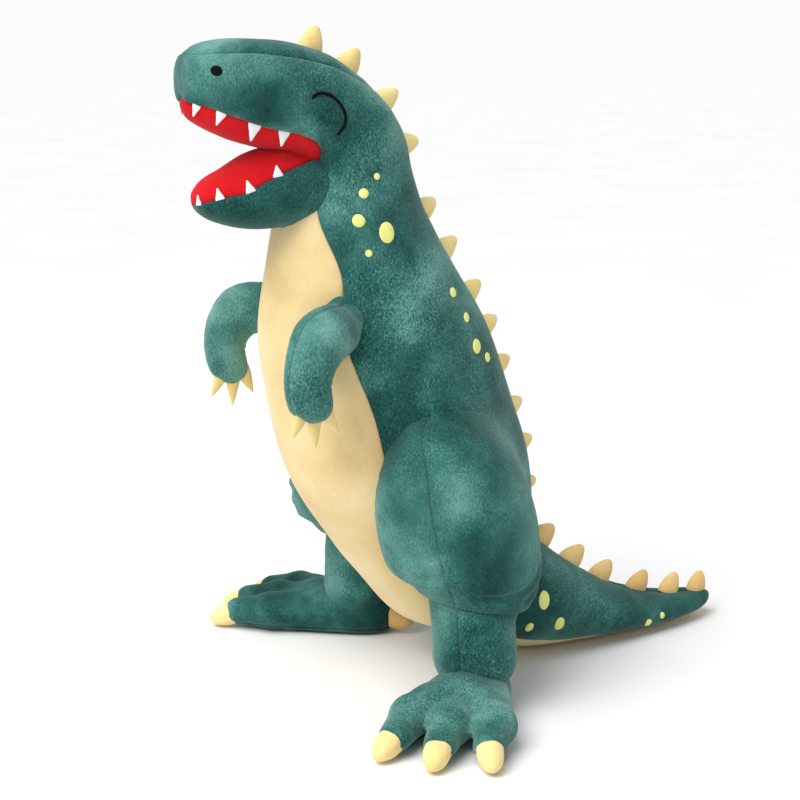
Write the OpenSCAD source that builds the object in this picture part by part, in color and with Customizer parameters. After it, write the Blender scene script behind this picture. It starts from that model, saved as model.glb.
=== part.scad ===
/* [Overall] */
// Height from the soles to the tip of the highest spike
body_height = 602; // [480:1:720]
// Width of the torso, as a share of the drawn width
torso_width = 1; // [0.95:0.01:1]
// Thickness of the plush fabric with its pile
skin = 2.5; // [2:0.1:3.5]
// Gap left along a seam between two panels
seam_gap = 0.4; // [0.3:0.05:0.6]
// Gap left between the fabric and the stuffing
fill_gap = 1.5; // [1.4:0.1:2.5]

/* [Spikes and claws] */
// Height of a spine spike
spike_height = 22; // [12:1:24]
// Radius of a spine spike at its base
spike_radius = 9.5; // [6:0.5:10]
// Length of a hand claw
hand_claw_length = 20; // [12:1:24]
// Length of a toe claw
toe_claw_length = 20; // [14:1:24]
// Radius of a toe claw at its base
toe_claw_radius = 13; // [9:0.5:13]

/* [Mouth] */
// Height of a felt tooth
tooth_height = 12; // [8:0.5:14]
// Width of a felt tooth at its base
tooth_width = 11; // [7:0.5:12]

/* [Feet] */
// Angle by which each foot points outwards
foot_splay = 46; // [40:1:50]
// Angle between neighbouring toes
toe_spread = 16; // [14:0.5:17]
// Distance from the ankle to the end of a toe, without its claw
toe_reach = 130; // [122:1:132]

/* [Hidden] */

drawn_height = 602;
fit = body_height / drawn_height;
// The origin lies under the middle between the snout and the tip of the tail
middle_y = 139;
green = [0.12, 0.32, 0.31];
cream = [0.95, 0.85, 0.62];
yellow = [0.96, 0.9, 0.5];
red = [0.8, 0.08, 0.1];
white = [0.97, 0.97, 0.95];
black = [0.05, 0.05, 0.05];
filling = [0.9, 0.9, 0.9];

// A station of a stuffed form is one cut across it:
// [front y, front z, back y, back z, half width, where it is widest, front exponent, back exponent, bow]
TORSO = [
    [104, 37, 112, 37, 4, 0.5, 2, 2, 0],
    [50, 48, 150, 44, 58, 0.5, 2, 2, 0],
    [14, 82, 172, 74, 84, 0.5, 2, 2, 0],
    [-14, 130, 186, 122, 95, 0.5, 2, 2, 0],
    [-44, 200, 186, 196, 97, 0.5, 2, 2, 0],
    [-64, 270, 164, 268, 92, 0.5, 2, 2, 0],
    [-73, 335, 139, 335, 83, 0.5, 2, 2, 0],
    [-70, 392, 106, 390, 71, 0.5, 2, 2, 0],
    [-65, 410, 95, 410, 67, 0.5, 2, 2, 0],
    [-55, 423, 89, 423, 65, 0.5, 2, 2, 0],
    [-52, 445, 76, 445, 62, 0.5, 2, 2, 0],
];
HEAD = [
    [-44, 492, 57, 510, 57, 0.5, 2.4, 2.4, 15],
    [-50, 503, 38, 537, 55, 0.5, 2.6, 2.5, 8],
    [-60, 507, 12, 560, 53, 0.5, 3, 2.6, 2],
    [-76, 511, -16, 578, 50, 0.48, 3.2, 2.8, 0],
    [-98, 515, -54, 588, 47, 0.46, 3.4, 3, 0],
    [-118, 523, -90, 591, 43, 0.45, 3.4, 3, 0],
    [-132, 533, -122, 588, 36, 0.45, 3, 2.8, 0],
    [-141, 543, -139, 578, 24, 0.5, 2.4, 2.4, 0],
    [-145, 552, -144, 570, 8, 0.5, 2, 2, 0],
];
JAW = [
    [-60, 441, -50, 490, 45, 0.5, 2.2, 2.2, 0],
    [-70, 435, -66, 498, 45, 0.55, 2.3, 2.2, 0],
    [-86, 432, -88, 494, 41, 0.6, 2.3, 2.1, 0],
    [-104, 434, -108, 484, 36, 0.6, 2.2, 2, 0],
    [-121, 440, -124, 471, 29, 0.6, 2.1, 2, 0],
    [-132, 447, -134, 461, 18, 0.6, 2, 2, 0],
    [-138, 452, -138, 457, 6, 0.5, 2, 2, 0],
];
TAIL = [
    [200, 4, 240, 86, 53, 0.45, 2, 2, 0],
    [250, 2, 275, 64, 44, 0.45, 2, 2, 0],
    [300, 3, 313, 46, 34, 0.45, 2, 2, 0],
    [350, 5, 358, 34, 24, 0.45, 2, 2, 0],
    [395, 8, 400, 28, 13, 0.5, 2, 2, 0],
    [420, 16, 422, 24, 5, 0.5, 2, 2, 0],
];
// A station of an arm is [x, y, z, radius]
ARM = [
    [84, -4, 342, 25], [90, -28, 349, 26], [93, -50, 345, 26], [95, -66, 328, 24],
    [96, -73, 306, 21], [94, -72, 290, 18], [93, -72, 282, 14],
];
arm_flatness = 0.85;
// A station of a leg is [x, y, z, radius across, radius along]
LEG = [
    [106, 70, 262, 6, 12], [100, 70, 254, 30, 40], [95, 70, 230, 48, 64], [95, 70, 200, 54, 76],
    [98, 71, 165, 56, 78], [102, 73, 132, 53, 72], [106, 74, 112, 45, 54], [110, 75, 102, 40, 43],
    [114, 76, 88, 38, 37], [118, 76, 68, 37, 36], [120, 76, 55, 36, 35],
];
// How far out the torso's rear reaches from the tail's axis: [height, radius]
TAIL_SEAT = [[0, 58], [40, 62], [60, 76], [80, 88], [100, 94], [122, 97], [150, 98]];

neck_y = 10;
neck_z = 445;
neck_r = 61;
neck_front = -45;
neck_back = 66;
neck_middle = (neck_front + neck_back) / 2;
neck_half_width = 60;
neck_clearance = 1.5;
tail_axis_y = 95;
tail_root_low = 14;
tail_root_high = 112;
tail_root_half = 58;
ankle = [120, 76, 0];

// Shape functions
function mix(a, b, t) = a + (b - a) * t;
function power(v, e) = sign(v) * pow(abs(v), e);
function curve(a, b, c, d, t) =
    0.5 * (2 * b + (c - a) * t + (2 * a - 5 * b + 4 * c - d) * t * t + (3 * b - a - 3 * c + d) * t * t * t);
function row(table, u) =
    let (last = len(table) - 1, i = min(floor(u), last - 1))
    curve(table[max(i - 1, 0)], table[i], table[i + 1], table[min(i + 2, last)], u - i);
function steps(a, b, n) = [for (i = [0:n]) mix(a, b, i / n)];
function last(list) = list[len(list) - 1];

// Point of a station at an angle round it: 0 is the front line and 180 the back line
function ring_point(s, phi, inset) =
    let (
        d = [s[2] - s[0], s[3] - s[1]],
        reach = norm(d),
        c = cos(phi),
        e = 2 / (c >= 0 ? s[6] : s[7]),
        half = max((c >= 0 ? s[5] : 1 - s[5]) * reach - inset, 1),
        along = s[5] * reach - power(c, e) * half,
        low = [s[0], s[1]] + d / reach * along
    )
    [power(sin(phi), e) * max(s[4] - inset, 1), low[0], low[1] + s[8] * pow(sin(phi), 2)];
function wide(p) = [p[0] * torso_width, p[1], p[2]];

// The neck's seat is a cylinder about the axis on which the head nods
function neck_height(y, r) = neck_z + sqrt(max(r * r - pow(y - neck_y, 2), 0));
function neck_point(phi, r, inset, share) =
    let (
        half = (neck_back - neck_front) / 2 - inset,
        y = neck_middle - cos(phi) * half * share
    )
    [sin(phi) * (neck_half_width - inset) * share, y, neck_height(y, r)];
// The tail's front follows the torso's rear round an upright axis
function tail_root_point(phi, inset, share) =
    let (
        half = (tail_root_high - tail_root_low) / 2 - inset,
        z = (tail_root_high + tail_root_low) / 2 - cos(phi) * half * share,
        x = sin(phi) * (tail_root_half - inset) * share
    )
    [x, tail_axis_y + sqrt(pow(lookup(z, TAIL_SEAT), 2) - x * x), z];
// Half width of the torso's side at a place beside it
torso_front = [for (s = TORSO) [s[1], s[0]]];
torso_back = [for (s = TORSO) [s[3], s[2]]];
torso_half = [for (s = TORSO) [s[3], s[4]]];
function side_x(y, z) =
    let (
        front = lookup(z, torso_front),
        back = lookup(z, torso_back),
        half = lookup(z, torso_half),
        t = (2 * y - front - back) / (back - front)
    )
    abs(t) >= 1 ? 0 : half * torso_width * sqrt(1 - t * t);

function quad(a, b, c, d) = [[a, b, c], [a, c, d]];

// A piece of fabric between an outer and an inner grid of points
module fabric(outer, inner) {
    n = len(outer);
    m = len(outer[0]);
    o = n * m;
    points = concat([for (r = outer) each r], [for (r = inner) each r]);
    faces = concat(
        [for (i = [0:n - 2], j = [0:m - 2])
            each quad(i * m + j, i * m + j + 1, i * m + m + j + 1, i * m + m + j)],
        [for (i = [0:n - 2], j = [0:m - 2])
            each quad(o + i * m + m + j, o + i * m + m + j + 1, o + i * m + j + 1, o + i * m + j)],
        [for (j = [0:m - 2]) each quad(o + j, o + j + 1, j + 1, j)],
        [for (j = [0:m - 2]) each quad(o - m + j, o - m + j + 1, 2 * o - m + j + 1, 2 * o - m + j)],
        [for (i = [0:n - 2]) each quad(i * m, i * m + m, o + i * m + m, o + i * m)],
        [for (i = [0:n - 2])
            each quad(o + i * m + m - 1, o + i * m + 2 * m - 1, i * m + 2 * m - 1, i * m + m - 1)]
    );
    polyhedron(points, faces);
}

// A stuffed core through rings of points, closed by a point at each end
module core(rings, start, end) {
    n = len(rings);
    m = len(rings[0]);
    points = concat([for (r = rings) each r], [start, end]);
    faces = concat(
        [for (i = [0:n - 2], j = [0:m - 1])
            let (k = (j + 1) % m) each quad(i * m + j, i * m + k, i * m + m + k, i * m + m + j)],
        [for (j = [0:m - 1]) [(j + 1) % m, j, n * m]],
        [for (j = [0:m - 1]) [(n - 1) * m + j, (n - 1) * m + (j + 1) % m, n * m + 1]]
    );
    polyhedron(points, faces);
}

module on_side(side) {
    if (side > 0) children();
    else mirror([1, 0, 0]) children();
}

module placed() {
    scale(fit) translate([0, -middle_y, 0]) children();
}

round_steps = [for (j = [0:23]) j * 15];
deep = skin + fill_gap;
// Share of a station by which a direction along a form is felt out
feel = 0.05;

// Torso
torso_rows = steps(0, len(TORSO) - 1, 18);
torso_low_point = [0, 108, 38];
// The belly's seam runs further forward between the thighs
function belly_seam(u) = lookup(u, [[0, 50], [2, 40], [4, 42], [6, 50], [8, 56], [10, 48]]);
function torso_grid(from, to, columns, inset) = concat(
    [for (u = torso_rows) [for (t = steps(0, 1, columns))
        wide(ring_point(row(TORSO, u), mix(from(u), to(u), t), inset))]],
    [for (k = [0.5, 1]) [for (t = steps(0, 1, columns))
        let (phi = mix(from(last(torso_rows)), to(last(torso_rows)), t))
        wide(mix(ring_point(last(TORSO), phi, inset), neck_point(phi, neck_r, inset, 1), k))]]
);
module torso_panel(from, to, columns) {
    fabric(torso_grid(from, to, columns, 0), torso_grid(from, to, columns, skin));
}
module belly_panel() {
    color(cream) placed()
        torso_panel(function (u) seam_gap / 2 - belly_seam(u), function (u) belly_seam(u) - seam_gap / 2, 10);
}
module torso_side(side) {
    color(green) placed() on_side(side)
        torso_panel(function (u) belly_seam(u) + seam_gap / 2, function (u) 180 - seam_gap / 2, 10);
}
module torso_stuffing() {
    body = [for (u = torso_rows) [for (a = round_steps) wide(ring_point(row(TORSO, u), a, deep))]];
    dome = [for (share = [1, 0.75, 0.5, 0.25]) [for (a = round_steps)
        wide(neck_point(a, neck_r - seam_gap, deep, share))]];
    color(filling) placed()
        core(concat(body, dome), torso_low_point, [0, neck_middle, neck_z + neck_r - seam_gap]);
}

// Head
head_rows = steps(0, len(HEAD) - 1, 16);
snout_tip = [0, -143, 561];
// Angle of the lip's seam and of the seam along the top of the head
function lip_seam(u) = lookup(u, [[0, 56], [3, 50], [8, 46]]);
function gusset_seam(u) = lookup(u, [[0, 168], [2, 145], [4, 132], [8, 128]]);
function head_grid(from, to, columns, inset) = concat(
    [[for (t = steps(0, 1, columns)) neck_point(mix(from(0), to(0), t), neck_r + neck_clearance, inset, 1)]],
    [for (u = head_rows) [for (t = steps(0, 1, columns))
        ring_point(row(HEAD, u), mix(from(u), to(u), t), inset)]]
);
module head_panel(from, to, columns) {
    fabric(head_grid(from, to, columns, 0), head_grid(from, to, columns, skin));
}
module head_side(side) {
    color(green) placed() on_side(side)
        head_panel(function (u) lip_seam(u) + seam_gap / 2, function (u) gusset_seam(u) - seam_gap, 8);
}
module head_gusset() {
    color(green) placed()
        head_panel(function (u) gusset_seam(u) + seam_gap, function (u) 360 - gusset_seam(u) - seam_gap, 8);
}
module palate_lining() {
    color(red) placed()
        head_panel(function (u) seam_gap / 2 - lip_seam(u), function (u) lip_seam(u) - seam_gap / 2, 8);
}
module head_stuffing() {
    seat = [for (share = [0.25, 0.5, 0.75, 1]) [for (a = round_steps)
        neck_point(a, neck_r + neck_clearance, deep, share)]];
    body = [for (u = head_rows) [for (a = round_steps) ring_point(row(HEAD, u), a, deep)]];
    color(filling) placed()
        core(
            concat(seat, body),
            [0, neck_middle, neck_z + neck_r + neck_clearance],
            snout_tip
        );
}

// Jaw
jaw_rows = steps(0, len(JAW) - 1, 12);
jaw_lip = 118;
jaw_hinge_end = [0, -55, 466];
jaw_tip = [0, -136.5, 454.5];
function jaw_grid(from, to, columns, inset) = [for (u = jaw_rows) [for (t = steps(0, 1, columns))
    ring_point(row(JAW, u), mix(from, to, t), inset)]];
module jaw_panel(from, to, columns) {
    fabric(jaw_grid(from, to, columns, 0), jaw_grid(from, to, columns, skin));
}
module chin_panel() {
    color(green) placed() jaw_panel(-jaw_lip + seam_gap, jaw_lip - seam_gap, 14);
}
module jaw_lining() {
    color(red) placed() jaw_panel(jaw_lip + seam_gap, 360 - jaw_lip - seam_gap, 8);
}
module jaw_stuffing() {
    color(filling) placed()
        core(
            [for (u = jaw_rows) [for (a = round_steps) ring_point(row(JAW, u), a, deep)]],
            jaw_hinge_end, jaw_tip
        );
}

// Felt teeth, four on each side of each lip
upper_tooth_rows = [6.1, 5, 4, 3.1];
lower_tooth_rows = [4.6, 3.5, 2.3, 1.3];
tooth_thickness = 1.6;
tooth_off = 1;
// Angle from the lip's seam to the root of a tooth
upper_tooth_turn = 8;
lower_tooth_turn = -10;
// A tooth stands in an upright plane along its lip, at an angle round the station
module tooth(table, u, phi, up) {
    at = ring_point(row(table, u), phi, 0);
    along = ring_point(row(table, u + feel), phi, 0) - at;
    translate(at) rotate([0, 0, atan2(along[1], along[0])])
        translate([0, tooth_off + tooth_thickness, 0]) rotate([90, 0, 0])
            linear_extrude(tooth_thickness)
                polygon([[-tooth_width / 2, 0], [tooth_width / 2, 0], [0, tooth_height * up]]);
}
module upper_teeth() {
    color(white) placed() for (side = [1, -1], u = upper_tooth_rows)
        on_side(side) tooth(HEAD, u, lip_seam(u) + upper_tooth_turn, -1);
}
module lower_teeth() {
    color(white) placed() for (side = [1, -1], u = lower_tooth_rows)
        on_side(side) tooth(JAW, u, jaw_lip + lower_tooth_turn, 1);
}

// Embroidered face
nostril_at = [43, -124, 567];
nostril_thickness = 1.5;
nostril_r = 5;
nostril_turn = -14;
eye_at = [55.6, -38, 529];
eye_r = 19;
eye_start = -55;
eye_sweep = 165;
thread_r = 1.2;
module nostrils() {
    color(black) placed() for (side = [1, -1])
        on_side(side) translate(nostril_at) rotate([0, 90, nostril_turn])
            cylinder(h = nostril_thickness, r = nostril_r, $fn = 32);
}
module closed_eyes() {
    color(black) placed() for (side = [1, -1])
        on_side(side) translate(eye_at) rotate([90, 0, 90]) rotate([0, 0, eye_start])
            rotate_extrude(angle = eye_sweep, $fn = 48) translate([eye_r, 0]) circle(thread_r, $fn = 16);
}

// Spine spikes: a rounded cone stands on the back line, leaning towards the tail
module spike_form(h, r) {
    rotate_extrude($fn = 24)
        polygon([[0, 0], [r, 0], [r * 0.9, h * 0.35], [r * 0.62, h * 0.7], [r * 0.36, h * 0.93], [0, h]]);
}
spike_off = 0.8;
// Spikes along a form: turn is 1 where the back lies left of its direction, and -1 where it lies right
module spikes(table, places, turn, lean, lift, shrink) {
    for (u = places) {
        here = row(table, u);
        ahead = row(table, u + feel);
        out = atan2(ahead[3] - here[3], ahead[2] - here[2]) + turn * 90;
        size = 1 - u * shrink;
        translate([0, here[2] + cos(out) * spike_off, here[3] + sin(out) * spike_off])
            rotate([out - 90 + lean, 0, 0]) translate([0, 0, lift])
                spike_form(spike_height * size, spike_radius * size);
    }
}
module back_spikes() {
    color(cream) placed() spikes(TORSO, [9.7, 8.2, 7.1, 6.3, 5.65, 5, 4.4, 3.8], -1, -6, 0, 0);
}
module head_spikes() {
    color(cream) placed() spikes(HEAD, [3, 2.05, 1.05, 0.1], -1, -8, 0, 0);
}
module tail_spikes() {
    color(cream) placed() spikes(TAIL, [0.05, 0.85, 1.7, 2.55, 3.3, 3.95], 1, -18, 2.6, 0.06);
}

// Embroidered spots on the torso: [y, z, radius]
SPOTS = [
    [9, 474, 3.5], [-4, 460, 5], [-10, 438, 6.5], [15, 427, 9], [-3, 411, 3.5],
    [82, 371, 5], [94, 348, 4], [102, 322, 7], [116, 308, 4],
];
spot_thickness = 1;
// Least radius of the surface under a spot, which lifts the flat spot clear
spot_bed_r = 60;
module spot_on(p, n, r) {
    translate(p + n * (seam_gap + r * r / (2 * spot_bed_r))) rotate([0, acos(n[2]), atan2(n[1], n[0])])
        cylinder(h = spot_thickness, r = r, $fn = 32);
}
module body_spots() {
    color(yellow) placed() for (side = [1, -1], s = SPOTS) {
        p = [side_x(s[0], s[1]), s[0], s[1]];
        reach = 3;
        dy = side_x(s[0] + reach, s[1]) - side_x(s[0] - reach, s[1]);
        dz = side_x(s[0], s[1] + reach) - side_x(s[0], s[1] - reach);
        n = [1, -dy / (2 * reach), -dz / (2 * reach)];
        on_side(side) spot_on(p, n / norm(n), s[2]);
    }
}
// Spots on the tail: [station, angle, radius]
TAIL_SPOTS = [[0.1, 78, 7], [0.35, 52, 6], [2.6, 62, 5], [2.95, 84, 4]];
module tail_spots() {
    color(yellow) placed() for (side = [1, -1], s = TAIL_SPOTS) {
        p = ring_point(row(TAIL, s[0]), s[1], 0);
        across = ring_point(row(TAIL, s[0]), s[1] + 1, 0) - p;
        along = ring_point(row(TAIL, s[0] + feel), s[1], 0) - p;
        n = cross(along, across);
        on_side(side) spot_on(p, n / norm(n) * (n[0] < 0 ? -1 : 1), s[2]);
    }
}

// Arms: rings across a path that bends forward and down
arm_rows = steps(0, len(ARM) - 1, 12);
arm_clearance = 1.6;
arm_swing_room = 10;
arm_root = [91, 8, 341];
arm_end = [93, -72, 279];
function arm_point(u, a, inset) =
    let (
        s = row(ARM, u),
        d = row(ARM, min(u + feel, len(ARM) - 1)) - row(ARM, max(u - feel, 0)),
        t = [d[1], d[2]] / norm([d[1], d[2]]),
        r = max(s[3] - inset, 1),
        y = s[1] - t[1] * sin(a) * r,
        z = s[2] + t[0] * sin(a) * r
    )
    [max(s[0] + cos(a) * r * arm_flatness, side_x(y + arm_swing_room, z) + arm_clearance + inset), y, z];
function arm_grid(from, to, inset) = [for (u = arm_rows)
    [for (a = steps(from, to, 8)) arm_point(u, a, inset)]];
module arm_panel(side, from, to) {
    color(green) placed() on_side(side) fabric(arm_grid(from, to, 0), arm_grid(from, to, skin));
}
module arm_outer(side) {
    arm_panel(side, 90 - seam_gap * 2, -90 + seam_gap * 2);
}
module arm_inner(side) {
    arm_panel(side, 270 - seam_gap * 2, 90 + seam_gap * 2);
}
module arm_stuffing(side) {
    color(filling) placed() on_side(side)
        core(
            [for (u = arm_rows) [for (a = [for (j = [0:15]) -j * 22.5]) arm_point(u, a, deep)]],
            arm_root, arm_end
        );
}
hand_claw_radius = 6;
hand_claw_fan = 26;
hand_claw_spacing = 9;
hand_claw_off = 1;
module hand_claws(side) {
    color(cream) placed() on_side(side) for (turn = [-1, 0, 1])
        translate(arm_end + [0, turn * hand_claw_spacing, 0]) rotate([180 + turn * hand_claw_fan, 0, 0])
            translate([0, 0, hand_claw_off]) spike_form(hand_claw_length, hand_claw_radius);
}

// Legs: haunch and shin, with seams at the outer and the inner middle
leg_rows = steps(0, len(LEG) - 1, 20);
leg_top = [107, 70, 258];
leg_bottom = [120, 76, 56];
leg_deep = deep + 1;
leg_clearance = 1.6;
leg_swing_room = 9;
leg_drop_room = 4;
// The leg's inner face keeps clear of the torso's side wherever the hip swings it
function leg_limit(y, z) =
    let (middle = (lookup(z, torso_front) + lookup(z, torso_back)) / 2, off = y - middle)
    side_x(middle + sign(off) * max(abs(off) - leg_swing_room, 0), z + leg_drop_room) + leg_clearance;
function leg_point(u, a, inset) =
    let (s = row(LEG, u), x = s[0] + cos(a) * max(s[3] - inset, 1), y = s[1] + sin(a) * max(s[4] - inset, 1))
    [max(x, leg_limit(y, s[2]) + inset), y, s[2]];
function leg_grid(from, to, inset) = [for (u = leg_rows)
    [for (a = steps(from, to, 10)) leg_point(u, a, inset)]];
module leg_panel(side, from, to) {
    color(green) placed() on_side(side) fabric(leg_grid(from, to, 0), leg_grid(from, to, skin));
}
module leg_front(side) {
    leg_panel(side, -seam_gap, -180 + seam_gap);
}
module leg_back(side) {
    leg_panel(side, 180 - seam_gap, seam_gap);
}
module leg_stuffing(side) {
    color(filling) placed() on_side(side)
        core([for (u = leg_rows) [for (a = round_steps) leg_point(u, -a, leg_deep)]], leg_top, leg_bottom);
}

// Feet: a heel, an instep and three toes
// A round end is [distance forward, height, radius, radius of its sole]
HEEL = [-14, 20, 35, 27];
INSTEP = [36, 16, 30, 25];
TOE_ROOT = [30, 15, 25, 19];
TOE_END = [toe_reach - 18, 13, 17.5, 12];
toe_fan_root = 44;
heel_flatness = 33 / 35;
module along_foot(turn) {
    translate(ankle) rotate([0, 0, foot_splay - 90 + turn]) children();
}
module rounded(end, inset, up) {
    translate([end[0], 0, end[1]]) scale([1, 1, up]) sphere(end[2] - inset, $fn = 16);
}
module flat_round(end) {
    translate([end[0], 0]) circle(end[3], $fn = 40);
}
module at_toe_root(turn) {
    along_foot(0) translate([0, toe_fan_root * sin(turn * toe_spread), 0]) children();
}
module foot_form(inset) {
    along_foot(0) hull() {
        rounded(HEEL, inset, heel_flatness);
        rounded(INSTEP, inset, 1);
    }
    for (turn = [-1, 0, 1]) hull() {
        at_toe_root(turn) rounded(TOE_ROOT, inset, 1);
        along_foot(turn * toe_spread) rounded(TOE_END, inset, 1);
    }
}
module above(z) {
    room = 500;
    intersection() {
        children();
        translate([-room / 2, -room / 2, z]) cube(room);
    }
}
module foot_upper(side) {
    color(green) placed() on_side(side) difference() {
        above(skin + seam_gap) foot_form(0);
        above(0) foot_form(skin);
    }
}
module foot_sole(side) {
    color(green) placed() on_side(side) linear_extrude(skin) {
        along_foot(0) hull() {
            flat_round(HEEL);
            flat_round(INSTEP);
        }
        for (turn = [-1, 0, 1]) hull() {
            at_toe_root(turn) flat_round(TOE_ROOT);
            along_foot(turn * toe_spread) flat_round(TOE_END);
        }
    }
}
module foot_stuffing(side) {
    color(filling) placed() on_side(side) above(deep) foot_form(deep);
}
claw_rise = 0.2;
module toe_claws(side) {
    color(cream) placed() on_side(side) for (turn = [-1, 0, 1])
        along_foot(turn * toe_spread) translate([toe_reach, 0, toe_claw_radius + claw_rise])
            rotate([0, 90, 0]) spike_form(toe_claw_length, toe_claw_radius);
}
heel_claw_length = 17;
heel_claw_at = 50;
module heel_claw(side) {
    color(cream) placed() on_side(side) along_foot(180)
        translate([heel_claw_at, 0, toe_claw_radius + claw_rise]) rotate([0, 90, 0])
            spike_form(heel_claw_length, toe_claw_radius);
}

// Tail
tail_rows = steps(0, len(TAIL) - 1, 12);
tail_tip = [0, 421, 20];
underside_seam = 34;
function tail_grid(from, to, columns, inset) = concat(
    [[for (t = steps(0, 1, columns)) tail_root_point(mix(from, to, t), inset, 1)]],
    [for (u = tail_rows) [for (t = steps(0, 1, columns)) ring_point(row(TAIL, u), mix(from, to, t), inset)]]
);
module tail_panel(from, to, columns) {
    fabric(tail_grid(from, to, columns, 0), tail_grid(from, to, columns, skin));
}
module tail_side(side) {
    color(green) placed() on_side(side) tail_panel(underside_seam + seam_gap, 180 - seam_gap, 10);
}
module tail_underside() {
    color(cream) placed() tail_panel(-underside_seam + seam_gap, underside_seam - seam_gap, 6);
}
module tail_stuffing() {
    seat = [for (share = [0.3, 0.65, 1]) [for (a = round_steps) tail_root_point(a, deep, share)]];
    body = [for (u = tail_rows) [for (a = round_steps) ring_point(row(TAIL, u), a, deep)]];
    color(filling) placed()
        core(concat(seat, body), tail_root_point(0, deep, 0), tail_tip);
}

belly_panel();
torso_side(1);  // torso_side_left
torso_side(-1);  // torso_side_right
torso_stuffing();
back_spikes();
body_spots();
head_side(1);  // head_side_left
head_side(-1);  // head_side_right
head_gusset();
palate_lining();
head_stuffing();
upper_teeth();
nostrils();
closed_eyes();
head_spikes();
chin_panel();
jaw_lining();
jaw_stuffing();
lower_teeth();
arm_outer(1);  // arm_outer_left
arm_inner(1);  // arm_inner_left
arm_stuffing(1);  // arm_stuffing_left
hand_claws(1);  // hand_claws_left
arm_outer(-1);  // arm_outer_right
arm_inner(-1);  // arm_inner_right
arm_stuffing(-1);  // arm_stuffing_right
hand_claws(-1);  // hand_claws_right
leg_front(1);  // leg_front_left
leg_back(1);  // leg_back_left
leg_stuffing(1);  // leg_stuffing_left
foot_upper(1);  // foot_upper_left
foot_sole(1);  // foot_sole_left
foot_stuffing(1);  // foot_stuffing_left
toe_claws(1);  // toe_claws_left
heel_claw(1);  // heel_claw_left
leg_front(-1);  // leg_front_right
leg_back(-1);  // leg_back_right
leg_stuffing(-1);  // leg_stuffing_right
foot_upper(-1);  // foot_upper_right
foot_sole(-1);  // foot_sole_right
foot_stuffing(-1);  // foot_stuffing_right
toe_claws(-1);  // toe_claws_right
heel_claw(-1);  // heel_claw_right
tail_side(1);  // tail_side_left
tail_side(-1);  // tail_side_right
tail_underside();
tail_stuffing();
tail_spikes();
tail_spots();
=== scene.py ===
"""The looks of a stuffed dinosaur, built around its CAD frame: plush panels, stuffed limbs, felt and thread.

Forms are drawn in millimetres, with x across, y towards the tail and z up from the soles; place() takes
them into the frame, in metres."""
import math

import bmesh
import bpy
import numpy as np
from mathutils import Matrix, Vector
from mathutils.bvhtree import BVHTree


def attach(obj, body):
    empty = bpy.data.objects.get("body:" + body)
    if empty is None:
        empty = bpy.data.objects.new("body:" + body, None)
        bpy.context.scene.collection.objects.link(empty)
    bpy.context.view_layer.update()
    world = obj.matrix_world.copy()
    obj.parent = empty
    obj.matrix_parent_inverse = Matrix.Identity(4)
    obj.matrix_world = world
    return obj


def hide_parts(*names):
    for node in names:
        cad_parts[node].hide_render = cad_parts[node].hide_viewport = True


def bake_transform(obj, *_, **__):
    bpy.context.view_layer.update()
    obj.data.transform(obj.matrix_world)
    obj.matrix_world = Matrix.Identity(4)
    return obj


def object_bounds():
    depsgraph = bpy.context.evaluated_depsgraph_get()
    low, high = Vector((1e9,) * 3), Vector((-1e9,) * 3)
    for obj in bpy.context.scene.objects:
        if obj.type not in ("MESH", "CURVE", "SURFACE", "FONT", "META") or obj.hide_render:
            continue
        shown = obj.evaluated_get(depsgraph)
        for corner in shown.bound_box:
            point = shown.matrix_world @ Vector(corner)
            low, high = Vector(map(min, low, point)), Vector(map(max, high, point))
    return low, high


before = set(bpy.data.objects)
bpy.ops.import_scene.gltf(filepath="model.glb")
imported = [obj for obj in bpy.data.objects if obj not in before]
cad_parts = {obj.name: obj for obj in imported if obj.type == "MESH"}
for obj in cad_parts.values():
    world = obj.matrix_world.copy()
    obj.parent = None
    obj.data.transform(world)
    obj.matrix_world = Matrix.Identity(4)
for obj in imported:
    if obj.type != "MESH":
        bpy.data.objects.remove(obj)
CAD_LOW, CAD_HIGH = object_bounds()

# How far the drawing reaches in y; the frame's length sets its scale
SNOUT_Y, TAIL_Y = -145.0, 422.0
SCALE = (CAD_HIGH.y - CAD_LOW.y) / (TAIL_Y - SNOUT_Y)
SIDES = {"left": 1, "right": -1}

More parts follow.
